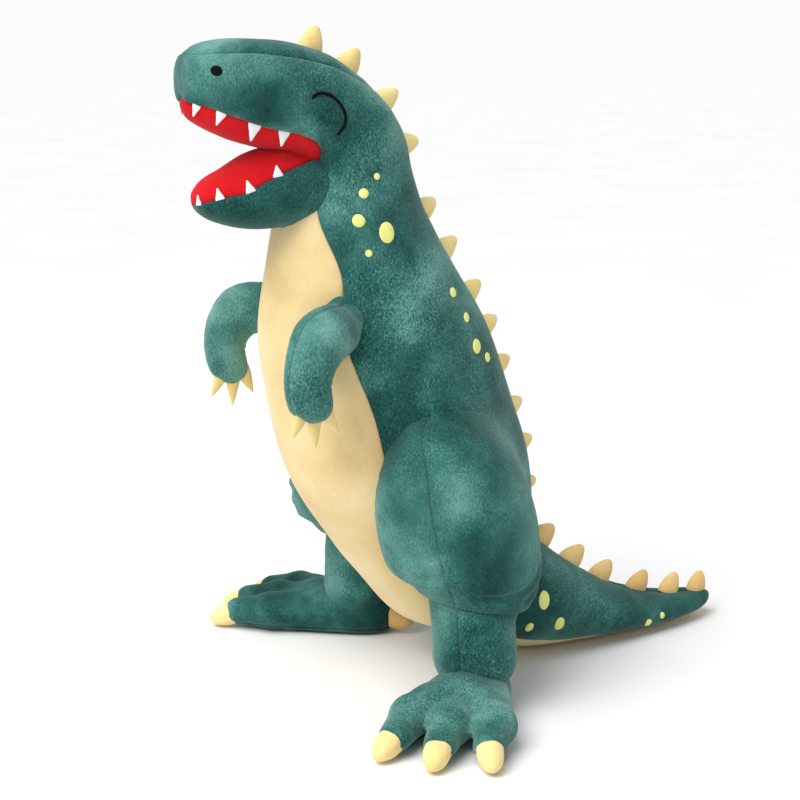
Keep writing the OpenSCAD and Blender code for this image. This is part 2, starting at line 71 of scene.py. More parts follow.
# Stations of the trunk, from between the legs up to the snout: front y, front z, back y, back z, half width,
# widest share, front power, back power, angle of the belly's or lip's seam, angle of the gusset's seam
TRUNK = [
    (107, 34, 107, 34, 1, 0.5, 2, 2, 50, 180),
    (98, 40, 118, 38, 14, 0.5, 2, 2, 60, 180),
    (60, 56, 150, 44, 57, 0.5, 2, 2, 62, 180),
    (26, 94, 172, 74, 82, 0.5, 2, 2, 60, 180),
    (-6, 136, 186, 122, 94, 0.5, 2, 2.1, 58, 180),
    (-44, 200, 186, 196, 97, 0.5, 2, 2.1, 59, 180),
    (-64, 270, 164, 268, 92, 0.5, 2, 2.1, 61, 180),
    (-73, 335, 139, 335, 83, 0.5, 2, 2.1, 56, 180),
    (-64, 395, 105, 392, 71, 0.5, 2.1, 2.1, 57, 180),
    (-56, 440, 77, 440, 62, 0.5, 2.2, 2.1, 42, 180),
    (-46, 468, 63, 476, 59, 0.52, 2.3, 2.05, 32, 180),
    (-38, 483, 55, 508, 57, 0.55, 2.4, 2.05, 24, 180),
    (-43, 494, 39, 536, 55, 0.55, 2.6, 2.25, 37, 168),
    (-56, 503, 15, 559, 53, 0.5, 3, 2.6, 42, 148),
    (-76, 508, -16, 578, 50, 0.48, 3.2, 2.8, 42, 136),
    (-98, 514, -54, 588, 47, 0.46, 3.4, 3, 42, 130),
    (-118, 522, -90, 591, 43, 0.45, 3.4, 3, 42, 131),
    (-130, 528, -120, 589, 38, 0.45, 3, 2.8, 40, 135),
    (-139, 532, -137, 584, 29, 0.5, 2.6, 2.4, 34, 149),
    (-146, 537, -145, 576, 17, 0.5, 2.3, 2.1, 24, 175),
    (-148, 544, -148, 552, 0.2, 0.5, 2, 2, 14, 180),
]
# Columns of TRUNK and JAW with the seams' angles
LIP_SEAM, GUSSET_SEAM = 8, 9
# Where the torso ends and the gusset starts, in stations of the trunk
TORSO_END, GUSSET_START = 9.5, 11.0
# Stations of the jaw, from the throat to its tip; the front line is the chin and the back line the lining
JAW = [
    (0, 456, -10, 488, 34, 0.5, 2.2, 2.2, 165),
    (-30, 440, -34, 494, 43.5, 0.5, 2.3, 2.2, 150),
    (-56, 433, -60, 496, 45, 0.55, 2.3, 2.2, 127),
    (-80, 431, -84, 491, 42, 0.6, 2.3, 2.1, 110),
    (-102, 433, -106, 480, 37, 0.6, 2.2, 2.0, 100),
    (-121, 439, -124, 471, 29, 0.6, 2.1, 2.0, 102),
    (-132, 446, -134, 461, 18, 0.6, 2, 2, 104),
    (-138, 452, -138, 456, 6, 0.5, 2, 2, 104),
    (-139, 454, -139, 454, 0.5, 0.5, 2, 2, 104),
]
# Stations of the tail, from inside the torso to its tip; the front line is the underside
TAIL = [
    (100, 50, 118, 150, 30, 0.5, 2, 2),
    (118, 30, 146, 150, 56, 0.5, 2, 2),
    (150, 14, 200, 116, 60, 0.45, 2, 2),
    (200, 4, 240, 86, 54, 0.45, 2, 2),
    (250, 1.5, 275, 64, 49, 0.45, 2, 2),
    (300, 1, 313, 46, 43, 0.45, 2, 2),
    (350, 1, 358, 33, 34, 0.45, 2, 2),
    (395, 3, 400, 28, 22, 0.5, 2, 2),
    (418, 10, 420, 27, 11, 0.5, 2, 2),
    (427, 20, 427, 20, 0.5, 0.5, 2, 2),
]
TAIL_UNDER = 42
# Stations of the left leg: centre x, centre y, height, half width, half depth, angle of the outer seam
LEG = [
    (90, 48, 272, 0.5, 0.5, -62),
    (90, 49, 269, 9, 11, -58),
    (91, 55, 257, 29, 36, -52),
    (93, 62, 232, 45, 57, -44),
    (95, 66, 200, 54, 69, -41),
    (98, 70, 165, 57, 74, -38),
    (103, 74, 132, 55, 71, -38),
    (107, 79, 115, 48.5, 61, -42),
    (108, 80, 104, 43.5, 53, -45),
    (109, 80, 99.5, 40.5, 47.5, -47),
    (110, 79, 101, 37, 41, -48),
    (112, 78, 96, 38, 39, -50),
    (114, 76, 88, 38, 37, -52),
    (118, 76, 65, 37, 36, -52),
    (120, 76, 45, 37, 36, -52),
    (120, 76, 30, 30, 30, -52),
]
# Column of LEG with the outer seam's angle, and the inner seam's angle
LEG_OUTER_SEAM, LEG_INNER_SEAM = 5, 150
# Stations of the left arm: x, y, z, radius
ARM = [
    (42, -18, 344, 1),
    (50, -22, 344, 16),
    (61, -29, 346, 21.5),
    (77, -43, 347, 24.5),
    (89, -59, 343, 25),
    (95, -71, 326, 22),
    (96, -75, 306, 20),
    (94, -70, 286, 18),
    (93, -69, 276, 9),
    (93, -69, 273, 0.5),
]
ARM_FLATNESS = 0.85
ARM_SEAM = -101


def place(points):
    """Points of the drawing, in the frame."""
    placed = np.array(points, float) * SCALE
    placed[..., 1] += CAD_LOW.y - SNOUT_Y * SCALE
    placed[..., 2] += CAD_LOW.z
    return placed


def unit(vectors):
    return vectors / np.maximum(np.linalg.norm(vectors, axis=-1, keepdims=True), 1e-9)


def hashed(i, j, k, seed):
    """A repeatable number from -1 to 1 for each lattice point."""
    n = (i * 73856093) ^ (j * 19349663) ^ (k * 83492791) ^ (seed * 1013904223)
    n = (n ^ (n >> 13)) * 1274126177 & 0x7FFFFFFF
    n = (n ^ (n >> 15)) * 668265263 & 0x7FFFFFFF
    return (n & 0xFFFF) / 32767.5 - 1


def noise(points, size, seed=0):
    """Smooth noise from -1 to 1 that changes over about `size` millimetres."""
    q = np.asarray(points, float) / size
    cell = np.floor(q).astype(np.int64)
    f = q - cell
    f = f * f * (3 - 2 * f)
    total = 0
    for corner in range(8):
        step = np.array([corner & 1, corner >> 1 & 1, corner >> 2])
        weight = np.prod(np.where(step, f, 1 - f), axis=-1)
        at = cell + step
        total = total + weight * hashed(at[..., 0], at[..., 1], at[..., 2], seed)
    return total


def noise_along(run, size, seed=0):
    """Smooth noise along a line."""
    run = np.asarray(run, float)
    return noise(np.stack([run, run * 0 + 0.5, run * 0 + 0.5], -1), size, seed)


def ramp(value, start, end):
    """0 before start, 1 after end, smooth between them."""
    t = np.clip((value - start) / (end - start), 0, 1)
    return t * t * (3 - 2 * t)


def curve(rows, u):
    """A smooth curve through rows of numbers; u counts rows."""
    rows = np.asarray(rows, float)
    last = len(rows) - 1
    u = np.clip(np.asarray(u, float), 0, last)
    i = np.minimum(u.astype(int), last - 1)
    t = (u - i)[..., None]
    a, b = rows[np.maximum(i - 1, 0)], rows[i]
    c, d = rows[i + 1], rows[np.minimum(i + 2, last)]
    return 0.5 * (2 * b + (c - a) * t + (2 * a - 5 * b + 4 * c - d) * t * t + (3 * b - a - 3 * c + d) * t**3)


def grid_faces(n, m, flip, closed=False):
    """Faces of a grid with n rows of m points; a closed one joins its last column to its first."""
    columns = m if closed else m - 1
    faces = [(i * m + j, i * m + (j + 1) % m, i * m + m + (j + 1) % m, i * m + m + j)
             for i in range(n - 1) for j in range(columns)]
    return [f[::-1] for f in faces] if flip else faces


# Fine steps between two stations, and the steps in u and phi that a form's normal is taken over
FINE, NORMAL_STEP, NORMAL_TURN = 40, 0.03, 1.5


class Form:
    """A stuffed form. u counts its stations; phi is 0 at the front line and 180 at the back line."""

    def __init__(self, stations):
        self.rows = np.array(stations, float)
        self.last = len(stations) - 1
        self.fine = np.linspace(0, self.last, self.last * FINE + 1)
        lines = [self.at(self.fine, phi) for phi in (0, 90, 180)]
        self.middle = np.mean(lines, axis=0)
        sides = [np.linalg.norm(np.diff(line, axis=0), axis=1) for line in lines]
        self.runs = np.concatenate([[0], np.cumsum(np.maximum.reduce(sides))])

    def at(self, u, phi):
        s = curve(self.rows, u)
        c, n = np.cos(np.radians(phi)), np.sin(np.radians(phi))
        e = 2 / np.where(c >= 0, s[..., 6], s[..., 7])
        c = np.sign(c) * np.abs(c) ** e
        n = np.sign(n) * np.abs(n) ** e
        share = np.where(c >= 0, s[..., 5], 1 - s[..., 5])
        t = s[..., 5] - c * share
        y = s[..., 0] + (s[..., 2] - s[..., 0]) * t
        z = s[..., 1] + (s[..., 3] - s[..., 1]) * t
        return np.stack([n * s[..., 4], y, z], -1)

    def core(self, u):
        """The middle of the form at u."""
        return curve(self.middle, u * FINE)

    def run(self, u):
        """Length along the form up to u."""
        return np.interp(u, self.fine, self.runs)

    def even(self, spacing, start=0, end=None):
        """Values of u that lie about `spacing` millimetres apart."""
        end = self.last if end is None else end
        a, b = self.run(start), self.run(end)
        return np.interp(np.linspace(a, b, int((b - a) / spacing) + 2), self.runs, self.fine)

    def normal(self, u, phi):
        u = np.clip(np.asarray(u, float), 2 * NORMAL_STEP, self.last - 2 * NORMAL_STEP)
        along = self.at(u + NORMAL_STEP, phi) - self.at(u - NORMAL_STEP, phi)
        across = self.at(u, phi + NORMAL_TURN) - self.at(u, phi - NORMAL_TURN)
        n = unit(np.cross(along, across))
        out = self.at(u, phi) - self.core(u)
        return n * np.where((n * out).sum(-1, keepdims=True) < 0, -1, 1)

    def tree(self):
        """A tree of the whole closed form, for distances."""
        points = self.at(*np.meshgrid(self.even(6), np.arange(0, 360, 7.5), indexing="ij"))
        n, m = points.shape[:2]
        faces = grid_faces(n, m, False, closed=True)
        flat = points.reshape(-1, 3)
        sample = faces[len(faces) // 2]
        a, b, c = flat[list(sample[:3])]
        if np.dot(np.cross(b - a, c - a), a - points[sample[0] // m].mean(0)) <= 0:
            faces = [face[::-1] for face in faces]
        return BVHTree.FromPolygons([Vector(p) for p in flat], faces)


# The haunch's lower fold is higher in front than behind
FOLD_TILT, FOLD_TURN, FOLD_HEIGHT, FOLD_REACH = 10.0, math.radians(105), 103.0, 24.0


class Leg(Form):
    """A limb through level oval stations; phi is 0 on its outer side and 90 behind."""

    def at(self, u, phi):
        s = curve(self.rows, u)
        a = np.radians(phi)
        tilt = FOLD_TILT * np.cos(a + FOLD_TURN) * np.exp(-(((s[..., 2] - FOLD_HEIGHT) / FOLD_REACH) ** 2))
        x = s[..., 0] + np.cos(a) * s[..., 3]
        y = s[..., 1] + np.sin(a) * s[..., 4]
        return np.stack([x, y, s[..., 2] + tilt], -1)

    def core(self, u):
        return curve(self.rows, u)[..., :3]


ARM_STEP = 0.05


class Arm(Leg):
    """A bent limb, whose stations stand square to its middle."""

    def at(self, u, phi):
        s = curve(self.rows, u)
        ahead, behind = np.minimum(u + ARM_STEP, self.last), np.maximum(u - ARM_STEP, 0)
        along = unit(self.core(ahead) - self.core(behind))
        out = unit(np.array([1.0, 0, 0]) - along[..., :1] * along)
        front = np.cross(along, out)
        a = np.radians(phi)
        ring = out * (ARM_FLATNESS * np.cos(a))[..., None] + front * np.sin(a)[..., None]
        return s[..., :3] + ring * s[..., 3:4]


def distances(tree, points, reach):
    """Signed distances to a closed form, positive outside it; far points count as `reach`."""
    out = np.full(len(points), float(reach))
    for i, p in enumerate(points):
        nearest, normal, _, d = tree.find_nearest(Vector(p), reach)
        if nearest is not None:
            out[i] = math.copysign(d, (Vector(p) - nearest).dot(normal))
    return out


def meet(points, normals, tree, softness):
    """Swells a surface where it meets another form, so that they join in a soft hollow, not a sharp crease.
    softness is the size of the hollow, in millimetres, at each point."""
    shape = points.shape
    p, n = points.reshape(-1, 3), normals.reshape(-1, 3)
    k = np.broadcast_to(softness, shape[:-1]).reshape(-1).astype(float)
    reach = k.max() * 1.5
    rise = np.zeros(len(p))
    d = distances(tree, p, reach)
    near = np.nonzero((np.abs(d) < k) & (k > 0.5))[0]
    for _ in range(4):
        dn = distances(tree, p[near] + n[near] * rise[near, None], reach)
        kn = k[near]
        outer = (np.sqrt(kn) - np.sqrt(np.clip(dn, 0, kn))) ** 2
        inner = kn / 2 - dn
        buried = np.maximum(kn / 2 + dn, 0)
        aim = np.where(dn >= kn / 4, outer, np.where(dn >= 0, inner, buried))
        rise[near] += 0.6 * (aim - rise[near])
    return points + normals * rise.reshape(shape[:-1])[..., None]


SWELL, SWELL_WIDTH = 2.6, 13.0
GROOVE, GROOVE_WIDTH = 0.9, 2.4
PUCKER, PUCKER_REACH = 0.6, 13.0
HEM, HEM_TURN = 5.0, 0.16


def swelling(distance):
    """How far stuffing lifts the fabric at a distance from a seam."""
    return 1 - np.exp(-distance / SWELL_WIDTH)


def seam_relief(distance, run, seed):
    """The stitched groove beside a seam and the puckers that run out from it."""
    tucks = noise_along(run, 5.5, seed) + 0.6 * noise_along(run, 11, seed + 1)
    groove = GROOVE * np.exp(-((distance / GROOVE_WIDTH) ** 2))
    return PUCKER * tucks * np.exp(-distance / PUCKER_REACH) * (0.35 + ramp(distance, 0, 6)) - groove


def lumps(points, amount=1.0):
    """The uneven surface that loose stuffing gives."""
    return amount * (1.5 * noise(points, 62, 3) + 0.6 * noise(points, 27, 5))


def segment_distance(points, line):
    """Distance in a plane from each point to a line. A point of the line may be an array, one for each point."""
    best = np.full(points.shape[:-1], 1e9)
    for a, b in zip(np.array(line[:-1], float), np.array(line[1:], float)):
        t = np.clip(((points - a) * (b - a)).sum(-1) / ((b - a) ** 2).sum(-1), 0, 1)
        best = np.minimum(best, np.linalg.norm(points - a - t[..., None] * (b - a), axis=-1))
    return best


def fold(distance, depth, width):
    """A crease with a small roll of fabric on both sides."""
    roll = 0.45 * np.exp(-(((distance - 2.2 * width) / width) ** 2))
    return depth * (roll - np.exp(-((distance / width) ** 2)))


def link_mesh(name, points, faces, finish, merge):
    """A smooth mesh piece from points of the frame, in metres; points closer than merge become one."""
    mesh = bpy.data.meshes.new(name)
    mesh.from_pydata([tuple(p) for p in points], [], faces)
    bm = bmesh.new()
    bm.from_mesh(mesh)
    bmesh.ops.remove_doubles(bm, verts=bm.verts, dist=merge)
    bm.to_mesh(mesh)
    bm.free()
    mesh.polygons.foreach_set("use_smooth", [True] * len(mesh.polygons))
    piece = bpy.data.objects.new(name, mesh)
    bpy.context.scene.collection.objects.link(piece)
    mesh.materials.append(finish)
    return piece


def add_mesh(name, points, faces, finish, merge=0.05):
    """A smooth mesh piece from points of the drawing."""
    return link_mesh(name, place(np.asarray(points).reshape(-1, 3)), faces, finish, merge * SCALE)


def stacked(parts):
    """The points and faces of several parts, as one list of each."""
    faces, start = [], 0
    for points, own in parts:
        faces += [tuple(i + start for i in face) for face in own]
        start += len(points)
    return np.concatenate([points for points, _ in parts]), faces


def subdivide(piece, levels=1):
    """Applies a subdivision surface."""
    bpy.context.view_layer.objects.active = piece
    modifier = piece.modifiers.new("smooth", "SUBSURF")
    modifier.levels = modifier.render_levels = levels
    bpy.ops.object.modifier_apply(modifier=modifier.name)
    return piece


def panel_angles(us, low, high, columns):
    """u and phi over a panel's grid, evenly from one seam's angles to the other's."""
    u, t = np.meshgrid(us, np.linspace(0, 1, columns + 1), indexing="ij")
    return u, np.asarray(low)[:, None] * (1 - t) + np.asarray(high)[:, None] * t


def panel_grid(form, us, low, high, columns):
    """Points, normals, run and the distances to both seams for a panel between two angles."""
    u, phi = panel_angles(us, low, high, columns)
    points, normals = form.at(u, phi), form.normal(u, phi)
    steps = np.linalg.norm(np.diff(points, axis=1), axis=2)
    across = np.concatenate([np.zeros((len(us), 1)), np.cumsum(steps, axis=1)], axis=1)
    return points, normals, form.run(u), across, across[:, -1:] - across


def panel_relief(points, run, to_low, to_high, seeds, lump=1.0):
    """How far a panel stands out: its stuffing, both seams and its lumps."""
    swell = SWELL * (swelling(to_low) * swelling(to_high) - 0.5)
    seams = seam_relief(to_low, run, seeds[0]), seam_relief(to_high, run, seeds[1])
    return swell + seams[0] + seams[1] + lumps(points, lump)


def bulge(low, high, height):
    """How far a lining bulges between its seams, from the distances to both."""
    width = np.maximum(low + high, 1)
    return height * np.clip(4 * low * high / width**2, 0, 1)


def hemmed(points, normals):
    """The grid with the fabric turned in beyond its two seams, less where the panel is narrow."""
    width = np.linalg.norm(np.diff(points, axis=1), axis=2).sum(1)
    hem = np.minimum(HEM, 0.3 * width)[:, None, None]
    first, last = points[:, :1], points[:, -1:]
    into_first, into_last = normals[:, :1] * hem, normals[:, -1:] * hem
    return np.concatenate([first - into_first, first - HEM_TURN * into_first, points,
                           last - HEM_TURN * into_last, last - into_last], axis=1)


def add_panel(name, points, normals, finish, side=1):
    """A fabric panel with its hems, mirrored for the right side."""
    grid = hemmed(points, normals)
    if side < 0:
        grid = grid * (-1, 1, 1)
    middle = (grid.shape[0] // 2, grid.shape[1] // 2)
    p = grid[middle]
    turn = np.cross(grid[middle[0], middle[1] + 1] - p, grid[middle[0] + 1, middle[1]] - p)
    outward = np.dot(turn, normals[middle[0], middle[1] - 2] * (side, 1, 1)) > 0
    faces = grid_faces(grid.shape[0], grid.shape[1], not outward)
    return subdivide(add_mesh(name, grid, faces, finish))


# ---------------------------------------------------------------- materials


def shader(name):
    """A new material with its node tree, and a helper that adds nodes."""
    material = bpy.data.materials.new(name)
    material.use_nodes = True
    tree = material.node_tree
    bsdf = tree.nodes["Principled BSDF"]

    def node(kind, inputs=None, **settings):
        made = tree.nodes.new(kind)
        for key, value in settings.items():
            setattr(made, key, value)
        for key, value in (inputs or {}).items():
            if isinstance(value, bpy.types.NodeSocket):
                tree.links.new(value, made.inputs[key])
            else:
                made.inputs[key].default_value = value
        return made

    return material, tree, bsdf, node


def math_node(node, operation, a, b):
    return node("ShaderNodeMath", {0: a, 1: b}, operation=operation).outputs[0]


def colour_ramp(node, factor, stops):
    made = node("ShaderNodeValToRGB", {"Fac": factor})
    while len(made.color_ramp.elements) < len(stops):
        made.color_ramp.elements.new(0.5)
    for element, (position, colour) in zip(made.color_ramp.elements, stops):
        element.position = position
        element.color = (*colour, 1)
    return made.outputs["Color"]


def plush(name, stops, cloud=0.5, mottle=0.6, pile=0.5, sheen=0.5, sheen_tint=(0.6, 0.8, 0.75), bump=0.5,
          painted_light_shift=0.0, light_and_shade=()):
    """Short pile: soft clouds where the nap lies another way, a fine mottle and single fibres.
    The larger places it is given are painted light and painted shade: y, z, radius in millimetres and how much
    lighter. The shift over the whole copy is painted light too, and painted shade below zero."""
    material, tree, bsdf, node = shader(name)
    coords = node("ShaderNodeTexCoord").outputs["Object"]
    clouds = node("ShaderNodeTexNoise", {"Vector": coords, "Scale": 14.0, "Detail": 5.0, "Roughness": 0.55,
                                         "Distortion": 0.25}).outputs["Fac"]
    combed = node("ShaderNodeMapping", {"Vector": coords, "Scale": (1.0, 0.9, 0.55)}).outputs["Vector"]
    tufts = node("ShaderNodeTexNoise", {"Vector": combed, "Scale": 760.0, "Detail": 3.0, "Roughness": 0.65,
                                        "Distortion": 0.3}).outputs["Fac"]
    where = node("ShaderNodeTexNoise", {"Vector": coords, "Scale": 9.0, "Detail": 2.0}).outputs["Fac"]
    stretched = node("ShaderNodeMapping", {"Vector": coords, "Scale": (1.0, 1.0, 0.45)}).outputs["Vector"]
    fibres = node("ShaderNodeTexNoise", {"Vector": stretched, "Scale": 900.0, "Detail": 2.0,
                                         "Roughness": 0.7}).outputs["Fac"]
    patchy = node("ShaderNodeMapRange", {"Value": where, "From Min": 0.4, "From Max": 0.62, "To Min": 0.35,
                                         "To Max": 1.3}).outputs["Result"]
    cloudy = math_node(node, "MULTIPLY", math_node(node, "SUBTRACT", clouds, 0.5), cloud * 2.2)
    mottled = math_node(node, "MULTIPLY", math_node(node, "SUBTRACT", tufts, 0.5), mottle * 1.6)
    mottled = math_node(node, "MULTIPLY", mottled, patchy)
    piled = math_node(node, "MULTIPLY", math_node(node, "SUBTRACT", fibres, 0.5), pile * 0.9)
    shades = math_node(node, "ADD", cloudy, mottled)
    total = math_node(node, "ADD", shades, math_node(node, "ADD", piled, 0.5 + painted_light_shift))
    from_side = node("ShaderNodeMapping", {"Vector": coords, "Scale": (0.0, 1.0, 1.0)}).outputs["Vector"]
    ragged = math_node(node, "MULTIPLY", math_node(node, "SUBTRACT", clouds, 0.5), 0.06)
    # Painted light and painted shade in round places, with ragged edges
    for y, z, radius, amount in light_and_shade:
        centre = place((0, y, z))
        away = node("ShaderNodeVectorMath", {0: from_side, 1: (0.0, *centre[1:])}, operation="DISTANCE")
        distance = math_node(node, "ADD", away.outputs["Value"], ragged)
        inner, outer = 0.5 * radius * SCALE, 1.15 * radius * SCALE
        inside = node("ShaderNodeMapRange", {"Value": distance, "From Min": inner, "From Max": outer,
                                             "To Min": amount, "To Max": 0.0})
        total = math_node(node, "ADD", total, inside.outputs["Result"])
    tree.links.new(colour_ramp(node, total, stops), bsdf.inputs["Base Color"])
    high, fine = math_node(node, "MULTIPLY", tufts, 0.6), math_node(node, "MULTIPLY", fibres, 0.5)
    height = math_node(node, "ADD", high, fine)
    rough = node("ShaderNodeBump", {"Height": height, "Strength": bump, "Distance": 0.0012}).outputs["Normal"]
    tree.links.new(rough, bsdf.inputs["Normal"])
    bsdf.inputs["Roughness"].default_value = 0.95
    bsdf.inputs["Specular IOR Level"].default_value = 0.15
    bsdf.inputs["Sheen Weight"].default_value = sheen
    bsdf.inputs["Sheen Roughness"].default_value = 0.45
    bsdf.inputs["Sheen Tint"].default_value = (*sheen_tint, 1)
    return material


def felt(name, stops):
    return plush(name, stops, cloud=0.2, mottle=0.3, pile=0.7, sheen=0.15, sheen_tint=(1, 1, 1), bump=0.35)


def thread(name, stops, pitch, gloss=0.2):
    """Satin stitches side by side."""
    material, tree, bsdf, node = shader(name)
    coords = node("ShaderNodeTexCoord").outputs["Object"]
    stitches = node("ShaderNodeTexWave", {"Vector": coords, "Scale": math.pi / 10 / pitch, "Distortion": 1.2,
                                          "Detail": 1.0, "Detail Scale": 2.0},
                    wave_type="BANDS", bands_direction="Z").outputs["Fac"]
    strands = node("ShaderNodeTexNoise", {"Vector": coords, "Scale": 1500.0, "Detail": 2.0}).outputs["Fac"]
    total = math_node(node, "ADD", math_node(node, "MULTIPLY", stitches, 0.6),
                      math_node(node, "MULTIPLY", strands, 0.4))
    tree.links.new(colour_ramp(node, total, stops), bsdf.inputs["Base Color"])
    lifted = node("ShaderNodeBump", {"Height": total, "Strength": 0.5, "Distance": 0.0004}).outputs["Normal"]
    tree.links.new(lifted, bsdf.inputs["Normal"])
    bsdf.inputs["Roughness"].default_value = 0.6
    bsdf.inputs["Specular IOR Level"].default_value = gloss
    return material


GREENS = [(0.15, (0.002, 0.026, 0.023)), (0.42, (0.013, 0.082, 0.072)), (0.6, (0.036, 0.150, 0.130)),
          (0.9, (0.150, 0.350, 0.310))]
# The same fabric in lit and shaded copies: painted light and painted shade make some panels, and places on them,
# lighter or darker.
GREEN = plush("green_plush", GREENS, cloud=0.8, sheen=0.35)
# A copy with painted shade, for the tail's sides
GREEN_TAIL_SHADED = plush("green_plush_tail_shaded", GREENS, cloud=0.6, mottle=0.5, sheen=0.3, painted_light_shift=-0.05)
# Places of painted light and painted shade: y, z, radius and how much lighter; those of the body's sides, then
# the haunches and the arms
BODY_LIGHT_AND_SHADE = [
    (-112, 572, 34, 0.10), (-66, 568, 36, 0.09), (-20, 566, 34, 0.05), (-100, 541, 20, -0.12),
    (-76, 537, 18, -0.12), (-44, 538, 18, -0.10), (0, 500, 60, -0.06), (20, 455, 44, -0.06),
    (50, 385, 50, 0.06), (90, 320, 46, 0.08), (20, 300, 40, -0.03), (72, 248, 36, -0.06),
    (66, 205, 50, 0.09), (112, 190, 40, 0.07), (52, 138, 28, -0.07), (92, 132, 26, -0.06),
    (126, 150, 24, 0.05), (150, 250, 40, -0.05),
]
HAUNCH_LIGHT_AND_SHADE = [(14, 196, 34, 0.06), (0, 232, 26, -0.05), (30, 130, 22, 0.04), (80, 60, 40, -0.08)]
ARM_LIGHT_AND_SHADE = [(-40, 366, 26, -0.08), (-72, 300, 28, 0.06)]
# The body's sides and the legs' backs: a little painted light, and the places of painted light and shade above
GREEN_BODY = plush("green_plush_body", GREENS, cloud=0.6, mottle=0.65, sheen=0.35, painted_light_shift=0.03,
                   light_and_shade=BODY_LIGHT_AND_SHADE)
# A copy with painted light, for the arms
GREEN_LIT = plush("green_plush_lit", GREENS, cloud=0.6, sheen=0.4, painted_light_shift=0.22, light_and_shade=ARM_LIGHT_AND_SHADE)
# A copy with painted light for the haunches, with its places of painted light and shade
GREEN_HAUNCH = plush("green_plush_haunch", GREENS, cloud=0.5, mottle=0.4, sheen=0.4, painted_light_shift=0.05,
                     light_and_shade=HAUNCH_LIGHT_AND_SHADE)
# A copy with painted shade, for the chin
GREEN_SHADED = plush("green_plush_shaded", GREENS, cloud=0.6, sheen=0.3, painted_light_shift=-0.10)
CREAMS = [(0.15, (0.60, 0.43, 0.19)), (0.5, (0.79, 0.60, 0.30)), (0.85, (0.90, 0.76, 0.48))]
CREAM = plush("cream_plush", CREAMS, cloud=0.45, mottle=0.12, pile=0.3, sheen=0.25,
              sheen_tint=(1, 0.95, 0.85), bump=0.2)
TRIMS = [(0.2, (0.68, 0.44, 0.13)), (0.5, (0.88, 0.70, 0.29)), (0.85, (0.95, 0.86, 0.50))]
TRIM = plush("cream_trim", TRIMS, cloud=0.35, mottle=0.15, pile=0.3, sheen=0.3,
             sheen_tint=(1, 0.97, 0.85), bump=0.2)
# A copy of the trim with painted shade, for the tail's spikes and the heel claws
TRIM_SHADES = [(0.2, (0.56, 0.33, 0.10)), (0.5, (0.80, 0.55, 0.22)), (0.85, (0.92, 0.75, 0.42))]
TRIM_SHADED = plush("cream_trim_shaded", TRIM_SHADES, cloud=0.4, mottle=0.15, pile=0.3, sheen=0.25,
                 sheen_tint=(1, 0.95, 0.8), bump=0.2)
REDS = [(0.15, (0.34, 0.002, 0.005)), (0.5, (0.58, 0.007, 0.012)), (0.85, (0.78, 0.030, 0.036))]
RED = plush("red_plush", REDS, cloud=0.35, mottle=0.15, pile=0.3, sheen=0.15,
            sheen_tint=(1, 0.5, 0.5), bump=0.2)
WHITE = felt("white_felt", [(0.2, (0.78, 0.79, 0.78)), (0.6, (0.9, 0.9, 0.89)), (0.9, (0.95, 0.95, 0.95))])
BLACK = thread("black_thread", [(0.2, (0.001, 0.001, 0.001)), (0.8, (0.006, 0.007, 0.008))], 0.0007, 0.06)
YELLOW = thread("yellow_thread", [(0.15, (0.72, 0.70, 0.14)), (0.5, (0.90, 0.92, 0.28)),
                                  (0.85, (0.95, 0.96, 0.42))], 0.0007)

# ---------------------------------------------------------------- pieces

trunk = Form([s[:8] for s in TRUNK])
jaw = Form([s[:8] for s in JAW])
tail = Form(TAIL)
leg = Leg([s[:5] for s in LEG])
arm = Arm(ARM)
trunk_tree, jaw_tree, tail_tree = trunk.tree(), jaw.tree(), tail.tree()
leg_tree, arm_tree = leg.tree(), arm.tree()

STEP = 5.0
NECK_START, NECK_END = (0, 0, 405), (0, 0, 485)


def bend(piece, a, b, start, end):
    """Bakes a piece's placement into its mesh; start and end are points of the drawing, and are not used."""
    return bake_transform(piece, a, b, start=tuple(place(start)), end=tuple(place(end)))


def trunk_angle(column, u):
    return np.clip(curve(np.array(TRUNK)[:, [column]], u)[..., 0], 0, 180)


def lip_seam(u):
    return trunk_angle(LIP_SEAM, u)


def haunch_softness(p):
    """The haunch runs smoothly into the torso behind and above, and makes a crease in front and below."""
    return 3.5 + 30 * ramp(p[..., 1], 30, 75) * ramp(p[..., 2], 120, 170)


def shoulder_softness(p):
    """The shoulder runs smoothly into the torso above and behind, and makes a crease elsewhere."""
    return 3.5 + 20 * ramp(p[..., 2], 342, 364) * ramp(p[..., 1], -44, -22)


def tail_softness(p):
    return 5 + 16 * ramp(p[..., 2], 60, 110)


# Shallow hollows of the head's side: y, z, radius, depth
HOLLOWS = [(-96, 541, 13, 2.2), (-52, 532, 12, 2.2), (-66, 552, 16, -1.2), (-30, 528, 11, -1.5)]
# Embroidered spots: where, y, z, half width and half height
SPOTS = [
    ("neck", 9, 476, 3.2, 3.2), ("neck", -4, 462, 4.6, 4.6), ("neck", -10, 439, 6, 6),
    ("neck", 15, 428, 8, 9.8), ("neck", -3, 411, 3.4, 3.4),
    ("back", 82, 371, 4.5, 4.5), ("back", 94, 348, 4, 4.6), ("back", 102, 322, 6, 7),
    ("back", 116, 310, 4, 4.6),
    ("tail", 186, 66, 7, 10), ("tail", 206, 38, 6, 7.5), ("tail", 172, 40, 4.5, 5.5),
    ("tail", 322, 15, 4.5, 4.5), ("tail", 341, 19, 3.5, 3.5),
]
SPOT_DENT, SPOT_DENT_WIDTH = 1.3, 2.2


def spot_dents(points, parts):
    """The fabric sinks into a ring round each embroidered spot."""
    dent = np.zeros(points.shape[:-1])
    for part, y, z, ry, rz in SPOTS:
        if part in parts:
            across = np.hypot((points[..., 1] - y) / ry, (points[..., 2] - z) / rz)
            off = across * (ry + rz) / 2 - (ry + rz) / 2
            dent -= SPOT_DENT * np.exp(-(((off - 1) / SPOT_DENT_WIDTH) ** 2))
    return dent


